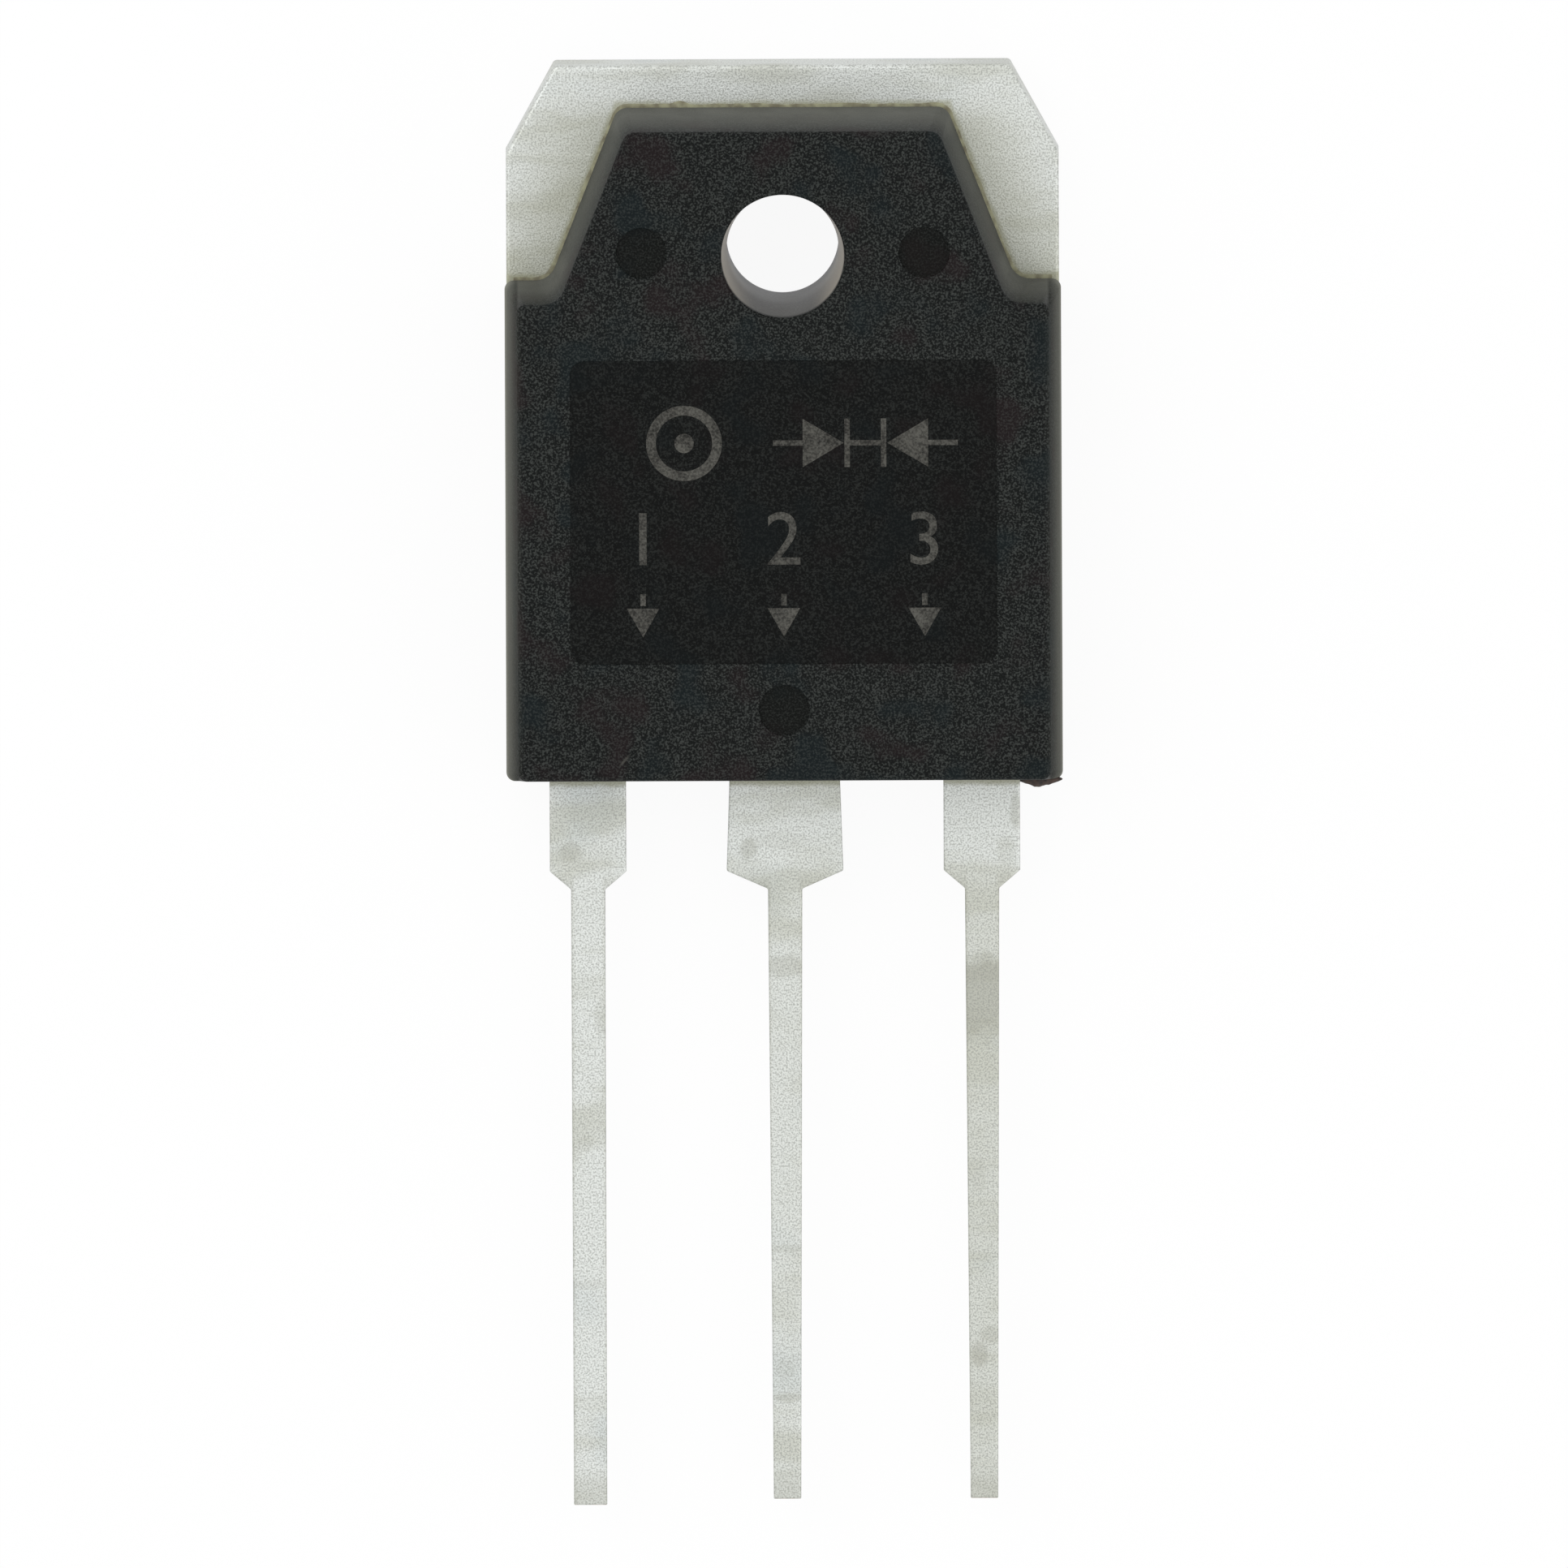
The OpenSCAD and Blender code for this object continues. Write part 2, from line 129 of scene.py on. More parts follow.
class MetalSizes(bpy.types.PropertyGroup):
    """Sizes of the stamped metal"""

    plate: length("Plate", "Thickness of the heat-sink plate", 1.5)
    chamfer_width: length("Chamfer width", "Width lost to a tab corner's chamfer", 1.35)
    chamfer_height: length("Chamfer height", "Height lost to the chamfer", 2.45)
    stamped_corner: length("Stamped corner", "Radius of the plate's outline corners", 0.14)
    roll_over: length("Roll-over", "Radius of the plate's front edges", 0.1)
    burr_side: length("Burr side", "Radius of the plate's back edges", 0.03)
    ear_bottom: length("Ear bottom", "From the hole's axis down to the ears' ends", 1.279)
    slug_width: length("Slug width", "Width of the bare metal in the back", 13.6)
    slug_bottom: length("Slug bottom", "From the hole's axis to the slug's lower edge", 13.75)
    key: length("Key", "Overhang of the slug's edges inside the moulding", 0.22)
    key_rise: length("Key rise", "Height of that overhang over the back", 0.4)
    lining: length("Lining", "Moulding between the hole and the metal", 0.75)
    step: length("Coined step", "Thickness of the plate under the lead posts", 0.8)
    step_top: length("Step top", "From the hole's axis down to the coined steps", 11.2)
    lead_rise: length("Lead rise", "Height of the leads' back face", 1.4)
    pitch: length("Pitch", "Distance between neighbouring leads", 5.45)
    shoulder_width: length("Shoulder width", "Width of the outer leads' shoulders", 2.12)
    middle_width: length("Middle width", "Width of the middle lead at the body", 3.05)
    middle_flare: length("Middle flare", "Extra width at its shoulder's lower end", 0.18)
    shoulder_length: length("Shoulder length", "Length of the wide shoulders", 2.5)
    taper: length("Taper", "Length of the taper below the shoulders", 0.5)
    tail: length("Tail width", "Width of the tails at their top", 0.95)
    left_tip: length("Left tip", "Width of the left lead's tip", 0.92)
    tip: length("Tip width", "Width of the other two tips", 0.76)
    lead_corner: length("Lead corner", "Radius of the leads' outline corners", 0.07)
    lead_edge: length("Lead edge", "Radius of the leads' front edges", 0.07)
    post_width: length("Post width", "Width of the wire posts", 3.9)
    post_height: length("Post height", "Height of the wire posts", 1.9)
    post_shift: length("Post shift", "How far a post lies inwards of its lead", 0.5)
    post_inset: length("Post inset", "From the body's lower edge up to the posts", 1.3)


class MarkSizes(bpy.types.PropertyGroup):
    """Sizes and places of the laser marks"""

    line: length("Line", "Width of the symbol's thin lines", 0.15)
    symbol_y: length("Symbol drop", "From the hole's axis down to the symbol", 5.2)
    symbol_x: length("Symbol place", "Middle of the symbol, right of the centre line", 2.27)
    diode: length("Diode", "Height of the symbol's triangles", 1.35)
    diode_gap: length("Diode gap", "From the symbol's middle to each bar", 0.43)
    symbol_width: length("Symbol width", "Length of the whole symbol", 5.12)
    ring_x: length("Ring place", "Index ring, left of the centre line", 2.75)
    ring: length("Ring", "Outer diameter of the index ring", 2.1)
    digit: length("Digits", "Height of the lead numbers", 1.55)
    digit_y: length("Digit drop", "From the hole's axis down to the numbers", 7.95)
    digit_pitch: length("Digit pitch", "Distance between the numbers", 3.9)
    arrow_y: length("Arrow drop", "From the hole's axis down to the arrows", 10.2)
    height: length("Mark height", "Height of the marks over the panel", 0.004)


class Finishes(bpy.types.PropertyGroup):
    """Colours and roughness of the finishes"""

    epoxy: colour("Epoxy", "Textured face of the moulding", 0.0038, 0.0046, 0.0044)
    epoxy_pale: colour("Pale epoxy", "Filler specks on the moulding", 0.041, 0.045, 0.042)
    epoxy_warm: colour("Warm epoxy", "Warm clouds on the moulding", 0.016, 0.009, 0.010)
    epoxy_cool: colour("Cool epoxy", "Cool clouds on the moulding", 0.006, 0.012, 0.014)
    # Painted sheen on the upper walls, paler towards the parting line
    wall_sheen: colour("Wall sheen", "Painted sheen on the upper walls of the moulding", 0.118, 0.120, 0.105)
    # Painted sheen on the long side walls
    flank: colour("Flank", "Painted sheen on the long side walls", 0.270, 0.272, 0.232)
    panel: colour("Panel", "Smooth marking panel", 0.0006, 0.0007, 0.0006)
    pin_mark: colour("Pin mark", "Floor of the ejector pin marks", 0.0008, 0.0012, 0.0006)
    # Painted glints on the mounting hole's wall
    bore: colour("Bore", "Polished wall of the mounting hole, with painted glints", 0.300, 0.262, 0.200)
    gate: colour("Gate", "Broken face of the gate", 0.060, 0.034, 0.024)
    # Also laid as painted shade on the plate beside the moulding's foot
    resin: colour("Resin", "Thin film of bled resin, also painted shade beside the moulding's foot", 0.320, 0.318, 0.195)
    resin_dark: colour("Dark resin", "Thicker spots of bled resin", 0.150, 0.135, 0.080)
    laser: colour("Laser mark", "Laser marks on the panel", 0.100, 0.098, 0.086)
    tin: colour("Tin", "Matte tin plate", 0.710, 0.734, 0.706)
    tin_grain: colour("Tin grain", "Dark specks between the plate's grains", 0.250, 0.255, 0.235)
    # Also laid as painted shade on the leads towards the right
    tin_warm: colour("Warm tin", "Olive bands on the plate, also painted shade on the leads to the right", 0.440, 0.447, 0.362)
    tin_cool: colour("Cool tin", "Cool areas of the plate", 0.530, 0.582, 0.590)
    smudge: colour("Smudge", "Dull smudges on the leads", 0.300, 0.300, 0.235)
    copper: colour("Copper", "Bare copper on cut faces", 0.550, 0.330, 0.200)
    solder: colour("Solder", "Soft solder", 0.420, 0.430, 0.440)
    silicon: colour("Silicon", "Metallised silicon", 0.160, 0.180, 0.220)
    aluminium: colour("Aluminium", "Bond wire", 0.800, 0.800, 0.790)
    epoxy_roughness: share("Epoxy roughness", "Roughness of the textured face", 0.52)
    panel_roughness: share("Panel roughness", "Roughness of the marking panel", 0.42)
    flank_roughness: share("Flank roughness", "Roughness of the two long side walls", 0.95)
    bore_roughness: share("Bore roughness", "Roughness of the mounting hole's wall", 0.38)
    tin_roughness: share("Tin roughness", "Roughness of the tin plate", 0.46)


class StageSettings(bpy.types.PropertyGroup):
    """Camera, floor and light"""

    tilt: FloatProperty(name="Tilt", description="Lean of the view towards the tab",
                        default=math.radians(6.7), subtype="ANGLE", unit="ROTATION")
    roll: FloatProperty(name="Roll", description="Turn of the view about its own axis",
                        default=math.radians(-0.23), subtype="ANGLE", unit="ROTATION")
    pixels_per_mm: share("Pixels a millimetre", "Scale of the view", 44.52, 100.0)
    target_x: FloatProperty(name="Target X", description="Middle of the view, to the right",
                            default=-0.02 * MM, unit="LENGTH", precision=5)
    target_y: FloatProperty(name="Target Y", description="Middle of the view, to the tab",
                            default=-15.26 * MM, unit="LENGTH", precision=5)
    distance: length("Distance", "From the camera to the part", 400)
    floor: length("Floor", "Width of the floor", 1200)
    world: share("World", "Strength of the world's light", 0.82, 5.0)
    key: share("Key", "Power of the key light in watts", 0.10, 50.0)
    fill: share("Fill", "Power of the fill light in watts", 0.045, 50.0)
    white: share("White", "How much of the floor's white the camera sees unshaded", 0.93)


GROUPS = {
    "package_moulding": MouldingSizes,
    "package_metal": MetalSizes,
    "package_marks": MarkSizes,
    "package_finishes": Finishes,
    "package_stage": StageSettings,
}


def rounded_path(corners, steps):
    """Closed path through corners (x, y, radius), anticlockwise, and its mitre vectors.

    Each corner is an arc of steps + 1 points tangent to both sides. Its centre lies a
    radius off each side. The mitre vector moves both sides of a corner outwards by one:
    it is the sum of their outward normals over one plus the normals' dot product.
    """
    values = np.array(corners, float)
    points, radius = values[:, :2], values[:, 2]
    ahead = np.roll(points, -1, 0) - points
    ahead /= np.linalg.norm(ahead, axis=1)[:, None]
    behind = np.roll(ahead, 1, 0)
    left_in = np.stack([-behind[:, 1], behind[:, 0]], 1)
    left_out = np.stack([-ahead[:, 1], ahead[:, 0]], 1)
    along = np.einsum("ij,ij->i", behind, ahead)
    across = behind[:, 0] * ahead[:, 1] - behind[:, 1] * ahead[:, 0]
    turn = np.arctan2(across, along)
    start = points - behind * (radius * np.abs(np.tan(turn / 2)))[:, None]
    spoke = -left_in * (radius * np.sign(turn))[:, None]
    angle = turn[:, None] * np.linspace(0, 1, steps + 1)[None, :]
    cosine, sine = np.cos(angle), np.sin(angle)
    turned = np.stack([spoke[:, :1] * cosine - spoke[:, 1:] * sine,
                       spoke[:, :1] * sine + spoke[:, 1:] * cosine], 2)
    path = (start - spoke)[:, None, :] + turned
    mitre = -(left_in + left_out) / (1 + along)[:, None]
    mitres = np.repeat(mitre[:, None, :], steps + 1, 1)
    return path.reshape(-1, 2), mitres.reshape(-1, 2)


def circle_path(x, y, radius, steps):
    """Circle of points at even angles, anticlockwise, with its outward unit vectors."""
    angle = np.linspace(0, math.tau, steps, endpoint=False)
    spokes = np.stack([np.cos(angle), np.sin(angle)], 1)
    return np.array([x, y]) + radius * spokes, spokes


def arc(offset, height, radius, first, last, steps):
    """Points of a profile's arc: centre plus radius times cosine and sine of the angle."""
    angle = np.radians(np.linspace(first, last, steps + 1))
    return np.stack([offset + radius * np.cos(angle), height + radius * np.sin(angle)], 1)


def both_halves(right):
    """Right half of an outline, then its mirror image in reverse order."""
    return list(right) + [(-x, y, r) for x, y, r in reversed(right)]


class Shell:
    """Closed surface gathered from patches. Points that coincide become one at the end."""

    def __init__(self):
        self.points = []
        self.faces = []
        self.count = 0

    def add(self, points, faces):
        """Adds a patch of points and of faces that index them."""
        self.points.append(points)
        self.faces.extend((np.asarray(face) + self.count).tolist() for face in faces)
        self.count += len(points)

    def sweep(self, path, moves, profile):
        """Profile carried round a closed path.

        Point (i, j) is the path's point i moved by its vector times the profile's offset
        j, at the profile's height j. A profile that rises faces outwards.
        """
        offset, height = np.asarray(profile).T
        flat = path[:, None, :] + moves[:, None, :] * offset[None, :, None]
        rise = np.broadcast_to(height[None, :, None], flat.shape[:2] + (1,))
        points = np.concatenate([flat, rise], 2).reshape(-1, 3)
        rows, columns = len(path), len(offset)
        i, j = np.meshgrid(np.arange(rows), np.arange(columns - 1), indexing="ij")
        nxt = (i + 1) % rows
        quads = np.stack([i * columns + j, nxt * columns + j,
                          nxt * columns + j + 1, i * columns + j + 1], 2)
        self.add(points, quads.reshape(-1, 4))
        return flat

    def cap(self, rings, height, up=True):
        """Flat face inside an outer ring, and outside the rings of any holes.

        With holes it is cut into triangles. Each one is turned by the sign of its area,
        and left out where it has none.
        """
        if len(rings) == 1:
            ring = rings[0] if up else rings[0][::-1]
            self.add(np.column_stack([ring, np.full(len(ring), height)]),
                     [np.arange(len(ring))])
            return
        loops = [[(x, y, 0.0) for x, y in ring] for ring in rings]
        triangles = np.array(tessellate_polygon(loops))
        flat = np.concatenate(rings)
        corner = flat[triangles]
        one, two = corner[:, 1] - corner[:, 0], corner[:, 2] - corner[:, 0]
        turn = one[:, 0] * two[:, 1] - one[:, 1] * two[:, 0]
        wrong = turn < 0 if up else turn > 0
        triangles[wrong] = triangles[wrong][:, ::-1]
        triangles = triangles[np.abs(turn) > MERGE ** 2]
        points = np.column_stack([flat, np.full(len(flat), height)])
        self.add(points, triangles)

    def tube(self, points):
        """Closed skin on a grid of rings, given as points (ring, place, xyz), with its ends."""
        rings, places = points.shape[:2]
        i, j = np.meshgrid(np.arange(rings - 1), np.arange(places), indexing="ij")
        nxt = (j + 1) % places
        quads = np.stack([i * places + j, (i + 1) * places + j,
                          (i + 1) * places + nxt, i * places + nxt], 2)
        ends = [np.arange(places), (rings - 1) * places + np.arange(places)[::-1]]
        self.add(points.reshape(-1, 3), list(quads.reshape(-1, 4)) + ends)

    def column(self, path, moves, low, high):
        """Upright solid on a closed path: its wall, its top and its bottom."""
        self.sweep(path, moves, [(0, low), (0, high)])
        self.cap([path], high)
        self.cap([path], low, up=False)

    def prism(self, corners, low, high):
        """Upright solid on an outline of (x, y, radius) corners."""
        self.column(*rounded_path(corners, 1), low, high)

    def piece(self, name):
        """Object made of the patches, with coinciding points merged."""
        mesh = bpy.data.meshes.new(name)
        mesh.from_pydata(np.concatenate(self.points).tolist(), [], self.faces)
        work = bmesh.new()
        work.from_mesh(mesh)
        bmesh.ops.remove_doubles(work, verts=work.verts, dist=MERGE)
        bmesh.ops.dissolve_degenerate(work, edges=work.edges, dist=MERGE)
        work.to_mesh(mesh)
        work.free()
        piece = bpy.data.objects.new(name, mesh)
        bpy.context.scene.collection.objects.link(piece)
        return piece


def joined(piece, other, operation):
    """Piece after an exact boolean with another closed piece, which is then removed."""
    cut = piece.modifiers.new(operation, "BOOLEAN")
    cut.operation = operation
    cut.solver = "EXACT"
    cut.object = other
    graph = bpy.context.evaluated_depsgraph_get()
    result = bpy.data.meshes.new_from_object(piece.evaluated_get(graph))
    piece.modifiers.clear()
    old = piece.data
    piece.data = result
    bpy.data.meshes.remove(old)
    bpy.data.objects.remove(other)
    return piece


def facing_out(piece):
    """Piece with its faces turned outwards."""
    work = bmesh.new()
    work.from_mesh(piece.data)
    bmesh.ops.recalc_face_normals(work, faces=work.faces)
    work.to_mesh(piece.data)
    work.free()
    return piece


def finished(piece, material, sharp=32.0):
    """Piece with its finish, smooth faces up to the sharp angle and weighted normals."""
    mesh = piece.data
    mesh.materials.clear()
    mesh.materials.append(material)
    mesh.shade_smooth()
    mesh.set_sharp_from_angle(angle=math.radians(sharp))
    weigh = piece.modifiers.new("weighted normals", "WEIGHTED_NORMAL")
    weigh.keep_sharp = True
    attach(piece, "root")
    return piece


# Sockets of a Mix node that blends colours: its two inputs and its output
MIX_FIRST, MIX_SECOND, MIX_COLOUR = 6, 7, 2


class Value:
    """Output of a node that takes part in sums: each operation adds one Math node."""

    def __init__(self, finish, socket):
        self.finish = finish
        self.socket = socket

    def sum(self, operation, *terms):
        """Result of one Math node on these terms, in their order."""
        inputs = dict(enumerate(terms))
        return self.finish.node("ShaderNodeMath", {"operation": operation}, inputs)

    def __add__(self, other):
        return self.sum("ADD", self, other)

    def __sub__(self, other):
        return self.sum("SUBTRACT", self, other)

    def __rsub__(self, other):
        return self.sum("SUBTRACT", other, self)

    def __mul__(self, other):
        return self.sum("MULTIPLY", self, other)

    def __truediv__(self, other):
        return self.sum("DIVIDE", self, other)

    def __pow__(self, other):
        return self.sum("POWER", self, other)

    def __abs__(self):
        return self.sum("ABSOLUTE", self)

    __radd__ = __add__
    __rmul__ = __mul__

    def most(self, other):
        """The greater of this and another value."""
        return self.sum("MAXIMUM", self, other)

    def least(self, other):
        """The smaller of this and another value."""
        return self.sum("MINIMUM", self, other)

    def step(self, low, high):
        """Smooth rise from nought at low to one at high, or a fall if low is greater."""
        flip = low > high
        least, most = (high, low) if flip else (low, high)
        inputs = {"Value": self, "From Min": least, "From Max": most}
        rise = self.finish.node("ShaderNodeMapRange", {"interpolation_type": "SMOOTHSTEP"},
                                inputs)
        return 1 - rise if flip else rise


class Finish:
    """Material whose colour, roughness and bump come from values in the piece's frame."""

    def __init__(self, name):
        self.material = bpy.data.materials.new(name)
        self.material.use_nodes = True
        self.nodes = self.material.node_tree.nodes
        self.links = self.material.node_tree.links
        self.shader = self.nodes["Principled BSDF"]
        self.place = self.node("ShaderNodeTexCoord", {}, {}, "Object")
        self.x, self.y, self.z = self.parts(self.place)
        self.base = None

    def node(self, kind, settings, inputs, output=0):
        """A new node with its settings, then the numbers or links of its sockets."""
        made = self.nodes.new(kind)
        for name, value in settings.items():
            setattr(made, name, value)
        for name, value in inputs.items():
            self.feed(made.inputs[name], value)
        return Value(self, made.outputs[output])

    def feed(self, socket, value):
        """Links a value to a socket, or sets a plain number or colour on it."""
        if isinstance(value, Value):
            self.links.new(value.socket, socket)
        elif socket.type == "RGBA":
            socket.default_value = (*value, 1.0)
        else:
            socket.default_value = value

    def parts(self, vector):
        """The three parts of a vector."""
        split = self.node("ShaderNodeSeparateXYZ", {}, {0: vector}).socket.node
        return [Value(self, output) for output in split.outputs]

    def noise(self, size, detail=2.0, rough=0.5, stretch=(1, 1, 1)):
        """Noise whose patches are about that size, from nought to one."""
        scaled = self.node("ShaderNodeVectorMath", {"operation": "MULTIPLY"},
                           {0: self.place, 1: tuple(s / size for s in stretch)})
        inputs = {"Vector": scaled, "Scale": 1.0, "Detail": detail, "Roughness": rough}
        return self.node("ShaderNodeTexNoise", {"noise_dimensions": "3D"}, inputs, "Fac")

    def blend(self, factor, first, second):
        """Colour that goes from the first to the second as the factor goes to one."""
        inputs = {"Factor": factor, MIX_FIRST: first, MIX_SECOND: second}
        return self.node("ShaderNodeMix", {"data_type": "RGBA"}, inputs, MIX_COLOUR)

    def start(self, factor, first, second):
        """Base colour between two colours, by the factor."""
        self.base = self.blend(factor, tuple(first), tuple(second))

    def tint(self, mask, colour):
        """Lays a colour over the base colour by a mask."""
        self.base = self.blend(mask, self.base, tuple(colour))

    def oval(self, x, y, width, height):
        """Distance from a place on the XY plane, as a share of an ellipse's half sizes."""
        return (((self.x - x) / width) ** 2 + ((self.y - y) / height) ** 2) ** 0.5

    def spot(self, x, y, width, height, soft):
        """One within the share soft of an ellipse, falling to nought at its edge."""
        return self.oval(x, y, width, height).step(1.0, soft)

    def outside(self, sizes):
        """Distance outside the moulding's outline, beside its nose and its block.

        The nose is the area below its upper edge and between its two slanted sides. A
        side's distance is the excess of x over the half width there, times the cosine of
        the slant. The outline is the nearer of the nose and the block.
        """
        shoulder = sizes.block_height - sizes.block_bottom
        slant = (sizes.nose_base - sizes.nose_top) / 2 / (sizes.nose_rise - shoulder)
        half = sizes.nose_top / 2 + (sizes.nose_rise - self.y) * slant
        side = (abs(self.x) - half) * math.cos(math.atan(slant))
        return side.most(self.y - sizes.nose_rise).least(self.y - shoulder)

    def dress(self, **sockets):
        """Sets or links the shader's own sockets, with underscores for spaces."""
        for name, value in sockets.items():
            self.feed(self.shader.inputs[name.replace("_", " ")], value)

    def bump(self, height, distance, strength=1.0):
        """Roughens the surface by a height from nought to one over a distance."""
        inputs = {"Height": height, "Distance": distance, "Strength": strength}
        self.dress(Normal=self.node("ShaderNodeBump", {}, inputs, "Normal"))


# Middle of a noise, which runs from nought to one
HALF = 0.5

# Patterns in the moulding: size of its grain, its clouds and the mottling of the painted sheen
# on its walls
EPOXY_GRAIN, EPOXY_CLOUD, WALL_CLOUD = 0.055 * MM, 1.7 * MM, 0.9 * MM
# Borders of the moulding's masks: where each one is nought, then where it is one
GRAIN_RISE, WARM_CLOUDS, COOL_CLOUDS = (0.42, 0.70), (0.53, 0.7), (0.47, 0.3)
WALL_MOTTLE, WALL_FOOT = (0.3, 0.7), (0.6 * MM, 1.6 * MM)
OVER_SHOULDERS, UNDER_NOSE_TOP = (-0.6 * MM, 0.0), (3.5 * MM, 3.0 * MM)
FLANK_EDGE, SHEEN_EDGE = (-0.4 * MM, -0.3 * MM), (-0.62 * MM, 0.0)
SHEEN_LINE, LEFT_HALF = (0.6 * MM, 0.0), (1 * MM, -1 * MM)
BORE_SIDES, BORE_RISE = (0.7 * MM, 1.6 * MM), (0.2 * MM, 2.2 * MM)
# Painted glint in the bore all over, and what its left and right sides add
BORE_GLINT, SIDE_GLINT = 0.08, 0.92
# Strength of the moulding's tints
CLOUD_TINT, RECESS_TINT, SCRATCH_TINT = 0.5, 0.62, 0.45
# The walls' painted sheen and what its mottling adds, the share of it that slanted walls
# lose, and the share that flanks keep
WALL_SHEEN, MOTTLE_SHEEN, SLANT_LOSS, FLANK_KEEP = 0.78, 0.2, 0.4, 0.55
# The flanks' painted sheen all over, on the left one, and along the parting line
SHEEN, LEFT_SHEEN, LINE_SHEEN = 0.2, 0.1, 0.36
# How sharply the pin marks and the hole end, as a share of their radius
MARK_EDGE, BORE_EDGE = 0.96, 0.985
# The small scratch near the lower edge, left of the middle: its place, half its length,
# how far it fades from its middle line, and the direction across it, as x and minus y
SCRATCH_PLACE = (-4.43 * MM, -14.03 * MM)
SCRATCH_REACH = 0.26 * MM
SCRATCH_FADE = (0.05 * MM, 0.01 * MM)
SCRATCH_ACROSS = (0.75, 0.66)


def mark_places(sizes):
    """Centres of the three ejector pin marks."""
    low = (0.0, sizes.low_mark - sizes.block_bottom)
    return [low] + [(side * sizes.mark_span / 2, sizes.mark_rise) for side in (-1, 1)]


def recess_masks(finish, sizes, on_top):
    """Masks of the marking panel and of the pin marks.

    The panel is a rounded rectangle: the distance past a smaller rectangle, which lies a
    corner radius inside it, stays below that radius.
    """
    middle_y = -sizes.panel_drop - sizes.panel_height / 2
    corner, soft = sizes.panel_corner, 0.03 * MM
    over_x = (abs(finish.x) - (sizes.panel_width / 2 - corner)).most(0.0)
    over_y = (abs(finish.y - middle_y) - (sizes.panel_height / 2 - corner)).most(0.0)
    past = (over_x ** 2 + over_y ** 2) ** 0.5
    panel = past.step(corner + soft, corner - soft) * on_top
    radius = sizes.mark / 2
    low, left, right = [finish.spot(x, y, radius, radius, MARK_EDGE)
                        for x, y in mark_places(sizes)]
    return panel, low.most(left).most(right) * on_top


def tint_walls(finish, sizes, looks, bore):
    """Painted sheen on the side walls, and the mask of the two long flanks.

    A painted sheen makes all walls paler from the rim down to the parting line, the nose's
    slanted ones less so. The flanks' painted sheen also grows outwards, most of all along
    the parting line.
    """
    mottle = finish.noise(WALL_CLOUD, 4.0, 0.6).step(*WALL_MOTTLE)
    rim = BODY_HIGH.z - 0.1 * MM
    upper = finish.z.step(rim, sizes.parting) * finish.z.step(*WALL_FOOT)
    slanted = finish.y.step(*OVER_SHOULDERS) * finish.y.step(*UNDER_NOSE_TOP)
    outward = abs(finish.x) - BODY_HIGH.x
    flank = outward.step(*FLANK_EDGE)
    fading = 1 - flank * (1 - upper * FLANK_KEEP)
    wall = upper ** 0.6 * (1 - bore) * (1 - slanted * SLANT_LOSS) * fading
    # Painted sheen: the walls go paler towards the parting line
    finish.tint(wall * (WALL_SHEEN + mottle * MOTTLE_SHEEN), looks.wall_sheen)
    # Painted sheen on the flanks, growing outwards, more on the left and along the parting line
    side = outward.step(*SHEEN_EDGE) ** 2 * (1 - bore)
    line = abs(finish.z - sizes.parting).step(*SHEEN_LINE)
    leftward = finish.x.step(*LEFT_HALF)
    finish.tint(side * (SHEEN + leftward * LEFT_SHEEN + line * LINE_SHEEN), looks.flank)
    return flank


def scratch_mask(finish):
    """Mask of the scratch: a short stretch of a thin slanted line."""
    x, y = SCRATCH_PLACE
    slant = abs((finish.x - x) * SCRATCH_ACROSS[0] - (finish.y - y) * SCRATCH_ACROSS[1])
    stretch = finish.spot(x, y, SCRATCH_REACH, SCRATCH_REACH, 0.2)
    return stretch * slant.step(*SCRATCH_FADE)


def epoxy_finish(scene):
    """Charcoal epoxy: spark-eroded grain, with a smoother, darker panel and pin marks.

    Its walls carry a painted sheen that grows towards the parting line, and the mounting
    hole is polished and carries painted glints.
    """
    sizes, looks = scene.package_moulding, scene.package_finishes
    finish = Finish("charcoal_epoxy")
    on_top = finish.z.step(BODY_HIGH.z - 0.3 * MM, BODY_HIGH.z - 0.2 * MM)
    panel, marks = recess_masks(finish, sizes, on_top)
    bore = finish.spot(0.0, 0.0, sizes.mouth / 2, sizes.mouth / 2, BORE_EDGE)
    grain = finish.noise(EPOXY_GRAIN, 1.0, 0.6)
    clouds = finish.noise(EPOXY_CLOUD, 2.0)
    finish.start(grain.step(*GRAIN_RISE), looks.epoxy, looks.epoxy_pale)
    finish.tint(clouds.step(*WARM_CLOUDS) * CLOUD_TINT, looks.epoxy_warm)
    finish.tint(clouds.step(*COOL_CLOUDS) * CLOUD_TINT, looks.epoxy_cool)
    finish.tint(panel * RECESS_TINT, looks.panel)
    finish.tint(marks * RECESS_TINT, looks.pin_mark)
    flank = tint_walls(finish, sizes, looks, bore)
    # Painted glints on the hole's wall, strongest on its left and right sides, towards the face
    aside = abs(finish.x).step(*BORE_SIDES)
    lit = finish.z.step(*BORE_RISE) * (BORE_GLINT + aside * SIDE_GLINT)
    finish.tint(bore * lit, looks.bore)
    finish.tint(scratch_mask(finish) * on_top * SCRATCH_TINT, looks.laser)

    smooth = panel.most(marks)
    rough = looks.epoxy_roughness + (clouds - HALF) * 0.08
    for mask, roughness in ((smooth, looks.panel_roughness), (bore, looks.bore_roughness),
                            (flank, looks.flank_roughness)):
        rough = rough + mask * (roughness - looks.epoxy_roughness)
    finish.dress(Base_Color=finish.base, Roughness=rough, Specular_IOR_Level=0.08)
    finish.bump(grain * (1 - smooth.most(bore) * 0.6), 0.015 * MM, 0.7)
    return finish.material


